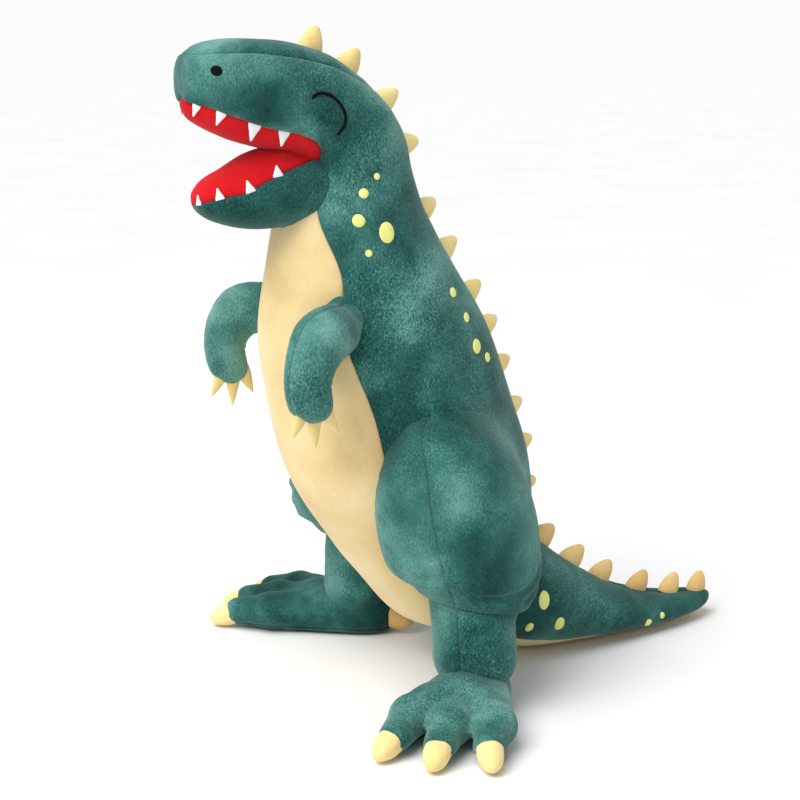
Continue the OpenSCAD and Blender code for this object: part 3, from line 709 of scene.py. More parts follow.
# Creases of the body's sides: points (y, z), depth, width
BODY_FOLDS = [
    ([(-34, 455), (-14, 447), (12, 449)], 1.0, 3.0), ([(-42, 430), (-22, 424), (-2, 428)], 0.7, 3.0),
    ([(-26, 318), (0, 308), (30, 306)], 1.0, 3.6), ([(-8, 352), (20, 346), (50, 352)], 0.7, 4.0),
    ([(-38, 300), (-14, 288), (8, 286)], 0.8, 3.4), ([(52, 294), (84, 284), (116, 290)], 0.9, 4.5),
    ([(70, 268), (96, 262), (124, 268)], 0.7, 4.0), ([(30, 398), (52, 392), (76, 398)], 0.7, 4.5),
    ([(-44, 505), (-36, 498), (-26, 490), (-20, 478)], 1.0, 3.0),
]


def body_folds(points):
    height = np.zeros(points.shape[:-1])
    for line, depth, width in BODY_FOLDS:
        away = segment_distance(points[..., 1:], line) + 1.2 * noise(points, 18, 71)
        height += fold(np.abs(away), depth, width)
    return height


us_trunk = trunk.even(STEP)
# Added to the distance from the gusset's seam on the front of the snout, where no groove shows
SMOOTH_FRONT = 40.0


def front_of_snout(u):
    """1 on the front of the snout, where the gusset ends in a point; 0 behind it."""
    return ramp(u, 18.2, 19.1)[:, None]


def body_side(word, side):
    """One panel from between the legs up to the snout."""
    us = us_trunk
    back = np.where(us < GUSSET_START, 180, trunk_angle(GUSSET_SEAM, us))
    points, normals, run, low, high = panel_grid(trunk, us, trunk_angle(LIP_SEAM, us), back, 44)
    high = high + SMOOTH_FRONT * front_of_snout(us)
    height = panel_relief(points * (side, 1, 1), run, low, high, (11, 12))
    for y, z, radius, depth in HOLLOWS:
        height -= depth * np.exp(-(np.hypot(points[..., 1] - y, points[..., 2] - z) / radius) ** 2)
    height += spot_dents(points, ("neck", "back")) + haunch_edge(points) + body_folds(points)
    points = points + normals * height[..., None]
    points = meet(points, normals, leg_tree, haunch_softness(points))
    points = meet(points, normals, arm_tree, shoulder_softness(points))
    points = meet(points, normals, tail_tree, tail_softness(points))
    piece = add_panel(f"body_side_{word}", points, normals, GREEN_BODY, side)
    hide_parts(f"torso_side_{word}", f"head_side_{word}")
    return bend(piece, "torso", "head", NECK_START, NECK_END)


def belly():
    us = us_trunk[us_trunk <= TORSO_END + 0.3]
    seam = trunk_angle(LIP_SEAM, us)
    points, normals, run, low, high = panel_grid(trunk, us, -seam, seam, 44)
    points = points + normals * panel_relief(points, run, low, high, (11, 11), 0.7)[..., None]
    piece = add_panel("belly_panel_plush", points, normals, CREAM)
    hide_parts("belly_panel", "torso_stuffing")
    return bend(piece, "torso", "head", NECK_START, NECK_END)


def palate():
    """The upper lining bulges down between the lips."""
    us = us_trunk[us_trunk >= TORSO_END]
    seam = trunk_angle(LIP_SEAM, us)
    points, normals, run, low, high = panel_grid(trunk, us, -seam, seam, 30)
    hanging = bulge(low, high, 7.0) * (1 - ramp(us, 17.4, 19.3))[:, None]
    height = panel_relief(points, run, low, high, (11, 11), 0.6) + hanging
    piece = add_panel("palate_lining_plush", points + normals * height[..., None], normals, RED)
    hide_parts("palate_lining")
    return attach(piece, "head")


def gusset():
    us = us_trunk[us_trunk >= GUSSET_START]
    seam = np.minimum(trunk_angle(GUSSET_SEAM, us), 179.6)
    points, normals, run, low, high = panel_grid(trunk, us, seam, 360 - seam, 26)
    front = SMOOTH_FRONT * front_of_snout(us)
    height = panel_relief(points, run, low + front, high + front, (12, 12))
    piece = add_panel("head_gusset_plush", points + normals * height[..., None], normals, GREEN)
    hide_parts("head_gusset", "head_stuffing")
    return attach(piece, "head")


us_jaw = jaw.even(4.0)
JAW_START, JAW_END = (0, -46, 0), (0, -72, 0)


def jaw_seam(u):
    return curve(np.array(JAW)[:, [LIP_SEAM]], u)[..., 0]


def chin():
    seam = jaw_seam(us_jaw)
    points, normals, run, low, high = panel_grid(jaw, us_jaw, -seam, seam, 48)
    height = panel_relief(points, run, low, high, (21, 21), 0.8)
    points = meet(points + normals * height[..., None], normals, trunk_tree, 5)
    piece = add_panel("chin_panel_plush", points, normals, GREEN_SHADED)
    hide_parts("chin_panel", "jaw_stuffing")
    return bend(piece, "head", "jaw", JAW_START, JAW_END)


def lower_lining():
    seam = jaw_seam(us_jaw)
    points, normals, run, low, high = panel_grid(jaw, us_jaw, seam, 360 - seam, 30)
    height = panel_relief(points, run, low, high, (21, 21), 0.6) + bulge(low, high, 3.0)
    piece = add_panel("jaw_lining_plush", points + normals * height[..., None], normals, RED)
    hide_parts("jaw_lining")
    return bend(piece, "head", "jaw", JAW_START, JAW_END)


us_tail = tail.even(5.0)
TAIL_START, TAIL_END = (0, 150, 0), (0, 230, 0)


def tail_piece(name, low_angle, high_angle, columns, finish, replaced, seeds, side=1, spotted=False):
    flat = np.ones(len(us_tail))
    points, normals, run, low, high = panel_grid(tail, us_tail, flat * low_angle, flat * high_angle, columns)
    height = panel_relief(points * (side, 1, 1), run, low, high, seeds, 0.8)
    if spotted:
        height += spot_dents(points, ("tail",))
    points = points + normals * height[..., None]
    points = meet(points, normals, trunk_tree, tail_softness(points))
    piece = add_panel(name, points, normals, finish, side)
    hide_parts(*replaced)
    return bend(piece, "torso", "tail", TAIL_START, TAIL_END)


def tail_pieces():
    for word, side in SIDES.items():
        tail_piece(f"tail_side_{word}_plush", TAIL_UNDER, 180, 32, GREEN_TAIL_SHADED,
                   (f"tail_side_{word}",), (31, 32), side, spotted=True)
    tail_piece("tail_underside_plush", -TAIL_UNDER, TAIL_UNDER, 16, CREAM,
               ("tail_underside", "tail_stuffing"), (31, 31))


us_leg = leg.even(4.0)
LEG_COLUMNS = 40
# Folds of the leg: points (angle, height), depth, width
LEG_FOLDS = [
    ([(-84, 160), (-66, 152), (-44, 154)], 2.0, 3.0),
    ([(-80, 138), (-62, 132), (-46, 134)], 2.2, 3.0),
    ([(-88, 182), (-72, 172), (-58, 171)], 1.3, 3.2),
    ([(-16, 116), (4, 113), (22, 114), (44, 121), (58, 132)], 3.0, 3.2),
    ([(30, 105), (52, 110), (74, 120), (84, 132)], 3.2, 2.8),
    ([(56, 99), (74, 103), (92, 113)], 2.4, 2.6),
    ([(-60, 84), (-30, 80), (0, 84)], 0.9, 3.4),
    ([(160, 84), (185, 78), (215, 82)], 1.4, 3.0),
    ([(150, 70), (180, 64), (210, 70)], 1.2, 3.0),
    ([(-78, 214), (-60, 226), (-50, 232)], 1.0, 3.5),
    ([(-28, 128), (-14, 124), (2, 125)], 0.8, 3.0),
]


HAUNCH_EDGE = [(-6, 226), (4, 240), (20, 257), (34, 266), (46, 271)]


def haunch_edge(points):
    """The seam where the haunch is sewn to the body's side, in front and above."""
    edge = segment_distance(points[..., 1:], HAUNCH_EDGE)
    return -2.0 * np.exp(-((edge / 3.0) ** 2)) * ramp(points[..., 0], 55, 70)


def leg_folds(u, phi, points):
    """The leg's folds. They are drawn on its unrolled side, in degrees round it and up it."""
    rows = curve(leg.rows, u)
    degree = np.radians(1) * (rows[..., 3] + rows[..., 4]) / 2
    rise = 1 / np.maximum(degree, 0.1)
    unrolled = np.stack([(phi + 180) % 360 - 180, points[..., 2] * rise], -1)
    height = np.zeros(points.shape[:-1])
    for line, depth, width in LEG_FOLDS:
        drawn = [np.stack([np.full_like(rise, angle), z * rise], -1) for angle, z in line]
        height += fold(segment_distance(unrolled, drawn) * degree, depth, width)
    return height


def leg_piece(word, side, part):
    outer = curve(np.array(LEG)[:, [LEG_OUTER_SEAM]], us_leg)[..., 0]
    inner = np.full(len(us_leg), LEG_INNER_SEAM - 360.0 if part == "front" else LEG_INNER_SEAM)
    u, phi = panel_angles(us_leg, outer, inner, LEG_COLUMNS)
    points, normals, run, low, high = panel_grid(leg, us_leg, outer, inner, LEG_COLUMNS)
    height = panel_relief(points * (side, 1, 1), run, low, high, (41, 42))
    height = height + leg_folds(u, phi, points) + haunch_edge(points)
    points = points + normals * height[..., None]
    points = meet(points, normals, trunk_tree, haunch_softness(points))
    finish = GREEN_HAUNCH if part == "front" else GREEN_BODY
    piece = add_panel(f"leg_{part}_{word}_plush", points, normals, finish, side)
    stuffed = (f"leg_stuffing_{word}",) if part == "front" else ()
    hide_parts(f"leg_{part}_{word}", *stuffed)
    return bend(piece, "torso", f"leg_{word}", (0, 0, 250), (0, 0, 120))


us_arm = arm.even(3.5)


def arm_piece(word, side, part):
    flat = np.ones(len(us_arm))
    turn = 180 if part == "outer" else -180
    points, normals, run, low, high = panel_grid(arm, us_arm, flat * ARM_SEAM, flat * (ARM_SEAM + turn), 28)
    height = panel_relief(points * (side, 1, 1), run, low, high, (51, 52), 0.7)
    points = points + normals * height[..., None]
    points = meet(points, normals, trunk_tree, shoulder_softness(points))
    piece = add_panel(f"arm_{part}_{word}_plush", points, normals, GREEN_LIT, side)
    stuffed = (f"arm_stuffing_{word}",) if part == "outer" else ()
    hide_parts(f"arm_{part}_{word}", *stuffed)
    return bend(piece, "torso", f"arm_{word}", (side * 58, 0, 0), (side * 84, 0, 0))


# ---------------------------------------------------------------- feet

ANKLE = np.array([120.0, 76.0, 0.0])
SPLAY, TOE_FAN, TOE_BOW = 47.0, 19.0, 1.28
TOES = [(-TOE_FAN, 125.0), (0.0, 125.0), (TOE_FAN, 122.0)]


def heading(angle):
    a = math.radians(angle)
    return np.array([math.sin(a), -math.cos(a), 0.0])


FORWARD = heading(SPLAY)
ACROSS = np.array([math.cos(math.radians(SPLAY)), math.sin(math.radians(SPLAY)), 0.0])
UP = np.array([0.0, 0.0, 1.0])


def foot_parts():
    """Rounded cones of the foot: start, end and their radii."""
    parts = [(ANKLE - 14 * FORWARD + 18 * UP, ANKLE + 44 * FORWARD + 21 * UP, 26, 27)]
    for side in (-1, 1):
        heel = ANKLE + side * 8 * ACROSS + 18 * UP
        ball = ANKLE + 62 * FORWARD + side * 26 * ACROSS + 18 * UP
        parts.append((heel, ball, 25, 21))
    for fan, length in TOES:
        way = heading(SPLAY + fan)
        knuckle = ANKLE + 90 * heading(SPLAY + fan * TOE_BOW) + 20 * UP
        parts.append((ANKLE + 64 * heading(SPLAY + fan * TOE_BOW) + 21 * UP, knuckle, 19, 18))
        parts.append((knuckle, ANKLE + length * way + 16 * UP, 18, 14))
    return parts


def foot_distance(p, blend=7.0, floor=7.0):
    """Distance to the foot's smooth form, flattened on the floor."""
    total = None
    for a, b, ra, rb in foot_parts():
        t = np.clip(((p - a) @ (b - a)) / ((b - a) @ (b - a)), 0, 1)
        d = np.linalg.norm(p - a - t[:, None] * (b - a), axis=1) - (ra + (rb - ra) * t)
        if total is None:
            total = d
        else:
            h = np.maximum(blend - np.abs(total - d), 0) / blend
            total = np.minimum(total, d) - h * h * blend / 4
    below = 0.4 - p[:, 2]
    h = np.maximum(floor - np.abs(total - below), 0) / floor
    return np.maximum(total, below) + h * h * floor / 4


def gradient(field, p, step=0.5):
    steps = np.eye(3) * step
    return unit(np.stack([field(p + s) - field(p - s) for s in steps], -1))


def capsule_mesh(parts, voxel):
    """A joined, evenly meshed skin of rounded cones."""
    bm = bmesh.new()
    for a, b, ra, rb in parts:
        made = bmesh.new()
        for centre, radius in ((a, ra), (b, rb)):
            bmesh.ops.create_uvsphere(made, u_segments=24, v_segments=16, radius=radius)
            for v in made.verts:
                if not v.tag:
                    v.co += Vector(centre)
                    v.tag = True
        hull = bmesh.ops.convex_hull(made, input=made.verts)
        loose = [g for g in hull["geom_interior"] + hull["geom_unused"] if isinstance(g, bmesh.types.BMVert)]
        bmesh.ops.delete(made, geom=list(set(loose)), context="VERTS")
        temporary = bpy.data.meshes.new("part")
        made.to_mesh(temporary)
        made.free()
        bm.from_mesh(temporary)
        bpy.data.meshes.remove(temporary)
    mesh = bpy.data.meshes.new("skin")
    bm.to_mesh(mesh)
    bm.free()
    skin = bpy.data.objects.new("skin", mesh)
    bpy.context.scene.collection.objects.link(skin)
    bpy.context.view_layer.objects.active = skin
    remesh = skin.modifiers.new("even", "REMESH")
    remesh.mode, remesh.voxel_size = "VOXEL", voxel
    bpy.ops.object.modifier_apply(modifier=remesh.name)
    points = np.array([v.co for v in skin.data.vertices], float)
    faces = [tuple(f.vertices) for f in skin.data.polygons]
    bpy.data.objects.remove(skin)
    return points, faces


def relax(points, faces, rounds):
    """Evens out a mesh by moving each point towards the middle of its neighbours."""
    pairs = {tuple(sorted((f[i], f[(i + 1) % len(f)]))) for f in faces for i in range(len(f))}
    edges = np.array(sorted(pairs))
    count = np.zeros(len(points))
    np.add.at(count, edges.ravel(), 1)
    for _ in range(rounds):
        total = np.zeros_like(points)
        np.add.at(total, edges[:, 0], points[edges[:, 1]])
        np.add.at(total, edges[:, 1], points[edges[:, 0]])
        points = points * 0.4 + total / count[:, None] * 0.6
    return points


SOLE_SEAM = 7.0


def cut(piece, height, keep_above, name):
    """A copy of a piece that keeps only what lies above or below a height, with its edge turned in."""
    copy = piece.copy()
    copy.data = piece.data.copy()
    copy.name = name
    bpy.context.scene.collection.objects.link(copy)
    bm = bmesh.new()
    bm.from_mesh(copy.data)
    level = float(place((0, 0, height))[2])
    bmesh.ops.bisect_plane(bm, geom=bm.verts[:] + bm.edges[:] + bm.faces[:], plane_co=(0, 0, level),
                           plane_no=(0, 0, 1), clear_inner=keep_above, clear_outer=not keep_above)
    rim = [e for e in bm.edges if e.is_boundary]
    middle = sum((v.co for e in rim for v in e.verts), Vector()) / (2 * len(rim))
    made = bmesh.ops.extrude_edge_only(bm, edges=rim)
    for v in (g for g in made["geom"] if isinstance(g, bmesh.types.BMVert)):
        inward = Vector((middle.x - v.co.x, middle.y - v.co.y, 0)).normalized()
        v.co += inward * HEM * SCALE
    bm.to_mesh(copy.data)
    bm.free()
    return copy


def drawn_in(points):
    """Points moved onto the foot's form, in a few steps."""
    for _ in range(4):
        points = points - gradient(foot_distance, points) * foot_distance(points)[:, None]
    return points


def foot(word, side):
    """The upper and the sole of one foot."""
    points, faces = capsule_mesh(foot_parts(), 3.2)
    for _ in range(3):
        points = relax(drawn_in(points), faces, 2)
    points = drawn_in(points)
    normals = gradient(foot_distance, points)
    standing = ramp(points[:, 2], 0.5, 9)
    height = lumps(points * (side, 1, 1), 0.7) * standing
    level = (points[:, 2] - SOLE_SEAM) / 2.2
    height -= 1.3 * np.exp(-(level**2)) * (np.abs(normals[:, 2]) < 0.9)
    points = points + normals * height[:, None]
    points = meet(points, normals, leg_tree, 1.5)
    if side < 0:
        points = points * (-1, 1, 1)
        faces = [f[::-1] for f in faces]
    whole = add_mesh(f"foot_{word}", points, faces, GREEN)
    upper = cut(whole, SOLE_SEAM, True, f"foot_upper_{word}_plush")
    sole = cut(whole, SOLE_SEAM, False, f"foot_sole_{word}_plush")
    bpy.data.objects.remove(whole)
    for piece, node in ((upper, "foot_upper"), (sole, "foot_sole")):
        subdivide(piece)
        stuffed = (f"foot_stuffing_{word}",) if node == "foot_upper" else ()
        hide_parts(f"{node}_{word}", *stuffed)
        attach(piece, f"leg_{word}")


# ---------------------------------------------------------------- spikes and claws

SPIKE_PROFILE = [(-0.25, 0.98), (0, 1), (0.2, 0.95), (0.4, 0.85), (0.6, 0.7), (0.77, 0.53), (0.9, 0.36),
                 (0.975, 0.19), (1, 0.01)]
CLAW_PROFILE = [(-0.3, 1), (0, 1), (0.2, 0.88), (0.4, 0.7), (0.6, 0.5), (0.8, 0.29), (0.94, 0.13), (1, 0.01)]
CAP_PROFILE = [(-0.45, 0.92), (-0.1, 1.0), (0.2, 1), (0.45, 0.92), (0.65, 0.78), (0.82, 0.58), (0.94, 0.34),
               (0.99, 0.14), (1, 0.01)]


def stuffed_cone(root, tip, radius, profile, flatness=1.0, wide=None, floor=None):
    """Points and faces of a small stuffed cone, with a seam along both its edges."""
    root, tip = np.asarray(root, float), np.asarray(tip, float)
    axis = tip - root
    length = np.linalg.norm(axis)
    axis = axis / length
    wide = np.array([0.0, 0, 1]) if wide is None else np.asarray(wide, float)
    wide = unit(wide - (wide @ axis) * axis)
    thin = np.cross(axis, wide)
    u = np.linspace(0, len(profile) - 1, 26)
    shape = curve(profile, u)
    angle = np.radians(np.arange(0, 360, 10))
    seam = 1 - 0.075 * np.exp(-((np.sin(angle) / 0.16) ** 2))
    across = np.cos(angle) * seam
    through = np.sin(angle) * flatness
    points = (root + shape[:, 0, None, None] * length * axis
              + (shape[:, 1, None] * across)[..., None] * radius * wide
              + (shape[:, 1, None] * through)[..., None] * radius * thin)
    points = points + unit(points - root) * (noise(points, 9, 61) * 0.35)[..., None]
    if floor is not None:
        low = points[..., 2] < floor
        points[..., 2] = np.where(low, floor - 0.15 * (floor - points[..., 2]), points[..., 2])
    n, m = points.shape[:2]
    faces = grid_faces(n, m, False, closed=True) + [tuple(range(m))[::-1]]
    return points.reshape(-1, 3), faces


def joined(name, parts, finish):
    """One piece of several separate closed parts, each turned outward."""
    piece = add_mesh(name, *stacked(parts), finish, merge=0.02)
    bm = bmesh.new()
    bm.from_mesh(piece.data)
    bmesh.ops.recalc_face_normals(bm, faces=bm.faces)
    bm.to_mesh(piece.data)
    bm.free()
    return piece


def mirrored(parts):
    """The parts on the other side of the toy."""
    return [(p * (-1, 1, 1), [face[::-1] for face in f]) for p, f in parts]


# Spine spikes: the part that carries it, and the place (y, z) that its tip points to
SPIKES = [
    ("head", -21, 602), ("head", 19, 582), ("head", 58, 547), ("head", 84, 503),
    ("back", 98, 447), ("back", 121, 411), ("back", 147, 369), ("back", 162, 332), ("back", 179, 293),
    ("back", 191, 250), ("back", 203, 211), ("back", 212, 168),
    ("tail", 233, 126), ("tail", 263, 93), ("tail", 297, 72), ("tail", 340, 52), ("tail", 379, 48),
    ("tail", 412, 43),
]
SPIKE_HEIGHT, SPIKE_FLATNESS = 22.0, 0.66
SPIKE_HALF = {"head": 12.0, "back": 12.0, "tail": 13.5}
SPIKE_LEAN = {"head": 0.5, "back": -1.5, "tail": 3.5}


# The form under each row of spikes, and the stretch of it that they stand on
SPIKE_FORMS = {"head": (trunk, 9.8, 19), "back": (trunk, 2, 9.8), "tail": (tail, 1, 9)}
SPIKE_REACH, TAIL_SPIKE_SHRINK = 12, 0.035


def spikes(part):
    """Stuffed spikes sewn into the seam of the back."""
    on_tail = part == "tail"
    form, start, end = SPIKE_FORMS[part]
    line = form.at(np.linspace(start, end, 600), 180.0)[:, 1:]
    parts = []
    for number, aim in enumerate(np.array([(y, z) for name, y, z in SPIKES if name == part], float)):
        nearest = np.linalg.norm(line - aim, axis=1).argmin()
        root = line[nearest]
        along = unit(line[min(nearest + SPIKE_REACH, len(line) - 1)] - line[max(nearest - SPIKE_REACH, 0)])
        along = -along if on_tail else along
        size = 1 - TAIL_SPIKE_SHRINK * number if on_tail else 1.0
        lean = SPIKE_LEAN[part] * size
        tip = root - along * lean + unit(aim - root) * SPIKE_HEIGHT * size
        root = root + along * lean
        parts.append(stuffed_cone((0, *root), (0, *tip), SPIKE_HALF[part] * size, SPIKE_PROFILE,
                                  SPIKE_FLATNESS, wide=(0, *along)))
    node = f"{part}_spikes"
    # The tail's spikes take the trim with painted shade
    piece = subdivide(joined(f"{node}_plush", parts, TRIM_SHADED if on_tail else TRIM))
    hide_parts(node)
    if on_tail:
        return bend(piece, "torso", "tail", TAIL_START, TAIL_END)
    return bend(piece, "torso", "head", NECK_START, NECK_END)


def toe_claws(word, side):
    parts = []
    for fan, length in TOES:
        way = heading(SPLAY + fan)
        root, tip = ANKLE + way * (length + 4) + UP * 15, ANKLE + way * (length + 29) + UP * 7
        parts.append(stuffed_cone(root, tip, 12.0, CAP_PROFILE, 0.96, wide=np.cross(way, UP), floor=3.0))
    piece = subdivide(joined(f"toe_claws_{word}_plush", parts if side > 0 else mirrored(parts), TRIM))
    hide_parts(f"toe_claws_{word}")
    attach(piece, f"leg_{word}")
    root, tip = ANKLE - FORWARD * 35 + UP * 18, ANKLE - FORWARD * 58 + UP * 11
    parts = [stuffed_cone(root, tip, 13.5, CAP_PROFILE, 0.96, wide=ACROSS, floor=3.0)]
    # The heel claw takes the trim with painted shade
    piece = subdivide(joined(f"heel_claw_{word}_plush", parts if side > 0 else mirrored(parts), TRIM_SHADED))
    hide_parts(f"heel_claw_{word}")
    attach(piece, f"leg_{word}")


def hand_claws(word, side):
    parts = []
    for turn in (-1, 0, 1):
        root = np.array([93, -68 + 10 * turn, 281 + 4 * abs(turn)], float)
        angle = math.radians(26 * turn)
        tip = root + (29 - 4 * abs(turn)) * np.array([0.1, math.sin(angle), -math.cos(angle)])
        parts.append(stuffed_cone(root, tip, 7.6, CLAW_PROFILE, 0.72, wide=(0, 1, 0)))
    piece = subdivide(joined(f"hand_claws_{word}_plush", parts if side > 0 else mirrored(parts), TRIM))
    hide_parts(f"hand_claws_{word}")
    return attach(piece, f"arm_{word}")


# ---------------------------------------------------------------- felt and embroidery

# Place along the lip, width and height of each tooth
UPPER_TEETH = [(18.05, 7.5, 9), (16.45, 9, 10.5), (15.0, 11.5, 13.5), (13.9, 10.5, 12)]
LOWER_TEETH = [(6.6, 6.5, 7.5), (5.05, 8, 8.8), (3.75, 8.8, 9.6), (2.65, 9, 8.8)]
TOOTH_THICKNESS = 1.8


def tooth(root, along, down, out, width, height):
    """A felt triangle with soft edges, its base sewn into the lip."""
    half, thick = width / 2, TOOTH_THICKNESS / 2
    outline = [(-half, -1.5), (half, -1.5), (half * 0.94, 0.5), (half * 0.5, height * 0.5),
               (0.7, height - 0.8), (0, height), (-0.7, height - 0.8), (-half * 0.5, height * 0.5),
               (-half * 0.94, 0.5)]
    centre = np.array([0, height * 0.3])
    points, layers = [], [(-thick, 0.86), (-thick * 0.55, 1), (thick * 0.55, 1), (thick, 0.86)]
    for lift, share in layers:
        for corner in np.array(outline):
            x, y = centre + (corner - centre) * share
            points.append(root + along * x + down * y + out * lift)
    m = len(outline)
    faces = grid_faces(len(layers), m, False, closed=True)
    faces += [tuple(range(m))[::-1], tuple(range(3 * m, 4 * m))]
    return np.array(points), faces


def teeth(name, form, places, seam_angle, up, body, node):
    parts = []
    for u, width, height in places:
        angle = seam_angle(np.array([u]))
        at = form.at(np.array([u]), angle)[0]
        along = unit(form.at(np.array([u + 0.1]), angle) - form.at(np.array([u - 0.1]), angle))[0]
        normal = form.normal(np.array([u]), angle)[0]
        down = np.array([0, 0, 1.0 if up else -1.0])
        down = unit(down - (down @ along) * along)
        out = unit(np.cross(along, down))
        out = out if out @ normal > 0 else -out
        root = at + out * 0.2 - normal * 1.2
        part = tooth(root, along, down, out, width, height)
        parts += [part, mirrored([part])[0]]
    piece = joined(name, parts, WHITE)
    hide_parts(node)
    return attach(piece, body)


def surface_tree(piece):
    """A tree over a finished piece, in metres."""
    mesh = piece.data
    return BVHTree.FromPolygons([v.co for v in mesh.vertices], [tuple(f.vertices) for f in mesh.polygons])


def on_surface(tree, y, z, side):
    """The point and normal of a piece's surface beside a place of the drawing."""
    start = Vector(place((side * 200, y, z)))
    hit, normal, _, _ = tree.ray_cast(start, Vector((-side, 0, 0)), start.x * side)
    if hit is None:
        hit, normal, _, _ = tree.find_nearest(Vector(place((side * 20, y, z))))
    if normal.x * side < 0:
        normal = -normal
    return np.array(hit), np.array(normal)


def stitched_disc(tree, y, z, ry, rz, side, dome):
    """A filled, slightly domed disc of satin stitch that follows the fabric. Its points are in metres."""
    rings, around = 7, 40
    points = []
    for ring in range(rings + 1):
        share = ring / rings
        for step in range(around):
            a = 2 * math.pi * step / around
            wobble = 1 + 0.02 * math.sin(17 * a)
            off_y = ry * share * wobble * math.cos(a)
            off_z = rz * share * wobble * math.sin(a)
            hit, normal = on_surface(tree, y + off_y, z + off_z, side)
            lift = (dome * math.sqrt(max(1 - share**2, 0)) + 0.35 - 0.9 * share**8) * SCALE
            points.append(hit + normal * lift)
    faces = grid_faces(rings + 1, around, side > 0, closed=True)
    return np.array(points), faces


STITCH_MERGE = 0.00002


def add_metres(name, parts, finish):
    """A piece from parts whose points are in metres already."""
    return link_mesh(name, *stacked(parts), finish, STITCH_MERGE)


NOSTRIL = (-127, 566, 4.7)
EYE_LINE = [(-48, 543), (-42, 546.5), (-34, 546), (-26.5, 541.5), (-21, 534.5), (-18.7, 527), (-20, 519),
            (-25.5, 511.5)]
EYE_THICKNESS, EYE_AROUND = 1.35, 12


def spots(trees):
    """The embroidered spots of the neck and back, and those of the tail."""
    discs = {"neck": [], "back": [], "tail": []}
    for word, side in SIDES.items():
        tail_side = surface_tree(bpy.data.objects[f"tail_side_{word}_plush"])
        for part, y, z, ry, rz in SPOTS:
            tree = tail_side if part == "tail" else trees[word]
            discs[part].append(stitched_disc(tree, y, z, ry, rz, side, 0.7))
    body = add_metres("body_spots_thread", discs["neck"] + discs["back"], YELLOW)
    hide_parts("body_spots")
    bend(body, "torso", "head", NECK_START, NECK_END)
    rear = add_metres("tail_spots_thread", discs["tail"], YELLOW)
    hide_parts("tail_spots")
    bend(rear, "torso", "tail", TAIL_START, TAIL_END)


def nostrils(trees):
    y, z, radius = NOSTRIL
    discs = [stitched_disc(trees[word], y, z, radius, radius, side, 0.8) for word, side in SIDES.items()]
    piece = add_metres("nostrils_thread", discs, BLACK)
    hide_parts("nostrils")
    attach(piece, "head")


def eye_arc(tree, side):
    """Points, in metres, and faces of one closed eye: a round of thread along a line on the fabric."""
    line = curve(EYE_LINE, np.linspace(0, len(EYE_LINE) - 1, 60))
    places = [on_surface(tree, y, z, side) for y, z in line]
    centres = np.array([hit + normal * 0.25 * SCALE for hit, normal in places])
    outs = np.array([normal for _, normal in places])
    flat = np.cross(unit(np.gradient(centres, axis=0)), outs)
    points = []
    for i in range(len(centres)):
        end = min(i, len(centres) - 1 - i)
        r = EYE_THICKNESS * SCALE * min(1, 0.35 + 0.3 * end)
        for step in range(EYE_AROUND):
            a = 2 * math.pi * step / EYE_AROUND
            points.append(centres[i] + flat[i] * r * math.cos(a) + outs[i] * r * 0.75 * math.sin(a))
    faces = grid_faces(len(centres), EYE_AROUND, side < 0, closed=True)
    faces += [tuple(range(EYE_AROUND)), tuple(range(len(points) - EYE_AROUND, len(points)))[::-1]]
    return np.array(points), faces


def closed_eyes(trees):
    arcs = [eye_arc(trees[word], side) for word, side in SIDES.items()]
    piece = add_metres("closed_eyes_thread", arcs, BLACK)
    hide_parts("closed_eyes")
    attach(piece, "head")


def embroidery(sides):
    """Everything that is stitched onto the body's sides and the tail."""
    trees = {word: surface_tree(sides[word]) for word in SIDES}
    spots(trees)
    nostrils(trees)
    closed_eyes(trees)


# ---------------------------------------------------------------- scene

VIEW_AZIMUTH, VIEW_ELEVATION, VIEW_DISTANCE = 63.0, 12.2, 1580.0
VIEW_TARGET = (0.0, 61.0, 263.0)
LENS_MM, SENSOR_MM = 76.5, 36.0


def camera():
    azimuth, elevation = math.radians(VIEW_AZIMUTH), math.radians(VIEW_ELEVATION)
    back = Vector((math.sin(azimuth) * math.cos(elevation), -math.cos(azimuth) * math.cos(elevation),
                   math.sin(elevation)))
    target = Vector(place(VIEW_TARGET))
    data = bpy.data.cameras.new("camera")
    data.lens, data.sensor_width = LENS_MM, SENSOR_MM
    made = bpy.data.objects.new("camera", data)
    bpy.context.scene.collection.objects.link(made)
    made.location = target + back * VIEW_DISTANCE * SCALE
    made.rotation_euler = back.to_track_quat("Z", "Y").to_euler()
    bpy.context.scene.camera = made


def area_light(name, offset, size, power, colour=(1, 1, 1)):
    """A soft light that looks at the middle of the toy."""
    data = bpy.data.lights.new(name, "AREA")
    data.shape, data.size, data.energy, data.color = "SQUARE", size, power, colour
    made = bpy.data.objects.new(name, data)
    bpy.context.scene.collection.objects.link(made)
    target = Vector(place(VIEW_TARGET))
    made.location = target + Vector(offset)
    made.rotation_euler = Vector(offset).to_track_quat("Z", "Y").to_euler()


AROUND_STRENGTH, BACKDROP_STRENGTH = 0.5, 0.97


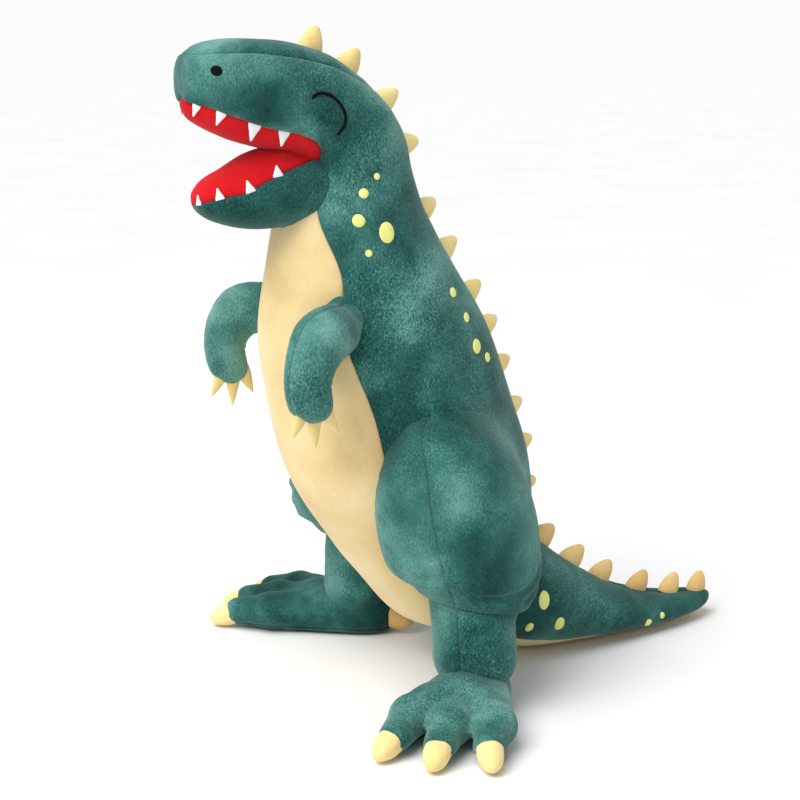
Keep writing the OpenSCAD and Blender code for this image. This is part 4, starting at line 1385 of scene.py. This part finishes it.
def pale_floor():
    material, tree, bsdf, node = shader("pale_floor")
    coords = node("ShaderNodeTexCoord").outputs["Object"]
    grain = node("ShaderNodeTexNoise", {"Vector": coords, "Scale": 3.0, "Detail": 4.0}).outputs["Fac"]
    tree.links.new(colour_ramp(node, grain, [(0.3, (0.86, 0.86, 0.86)), (0.7, (0.9, 0.9, 0.9))]),
                   bsdf.inputs["Base Color"])
    bsdf.inputs["Roughness"].default_value = 0.9
    bpy.ops.mesh.primitive_plane_add(size=60)
    floor = bpy.context.active_object
    floor.name = "floor"
    floor.data.materials.append(material)
    floor.location.z = CAD_LOW.z - 0.0005


def surroundings():
    """White all round: softer as light than as the backdrop that the camera sees."""
    world = bpy.data.worlds.new("studio")
    bpy.context.scene.world = world
    world.use_nodes = True
    links, nodes = world.node_tree.links, world.node_tree.nodes
    around = nodes["Background"]
    around.inputs["Color"].default_value = (1, 1, 1, 1)
    around.inputs["Strength"].default_value = AROUND_STRENGTH
    seen = nodes.new("ShaderNodeBackground")
    seen.inputs["Color"].default_value = (1, 1, 1, 1)
    seen.inputs["Strength"].default_value = BACKDROP_STRENGTH
    path = nodes.new("ShaderNodeLightPath")
    mix = nodes.new("ShaderNodeMixShader")
    links.new(path.outputs["Is Camera Ray"], mix.inputs[0])
    links.new(around.outputs[0], mix.inputs[1])
    links.new(seen.outputs[0], mix.inputs[2])
    links.new(mix.outputs[0], nodes["World Output"].inputs["Surface"])


def overhead_light():
    sun = bpy.data.lights.new("overhead", "SUN")
    sun.energy, sun.angle = 2.3, math.radians(50)
    overhead = bpy.data.objects.new("overhead", sun)
    bpy.context.scene.collection.objects.link(overhead)
    overhead.rotation_euler = Vector((0.15, -0.55, 1.0)).to_track_quat("Z", "Y").to_euler()


def studio():
    pale_floor()
    surroundings()
    overhead_light()
    area_light("key", (0.7, -1.7, 1.5), 1.2, 16)
    bpy.context.scene.view_settings.view_transform = "Standard"


camera()
studio()
body_sides = {word: body_side(word, side) for word, side in SIDES.items()}
belly()
palate()
gusset()
chin()
lower_lining()
tail_pieces()
for word, side in SIDES.items():
    leg_piece(word, side, "front")
    leg_piece(word, side, "back")
    arm_piece(word, side, "outer")
    arm_piece(word, side, "inner")
    foot(word, side)
    toe_claws(word, side)
    hand_claws(word, side)
spikes("head")
spikes("back")
spikes("tail")
teeth("upper_teeth_felt", trunk, UPPER_TEETH, lip_seam, False, "head", "upper_teeth")
teeth("lower_teeth_felt", jaw, LOWER_TEETH, jaw_seam, True, "jaw", "lower_teeth")
embroidery(body_sides)
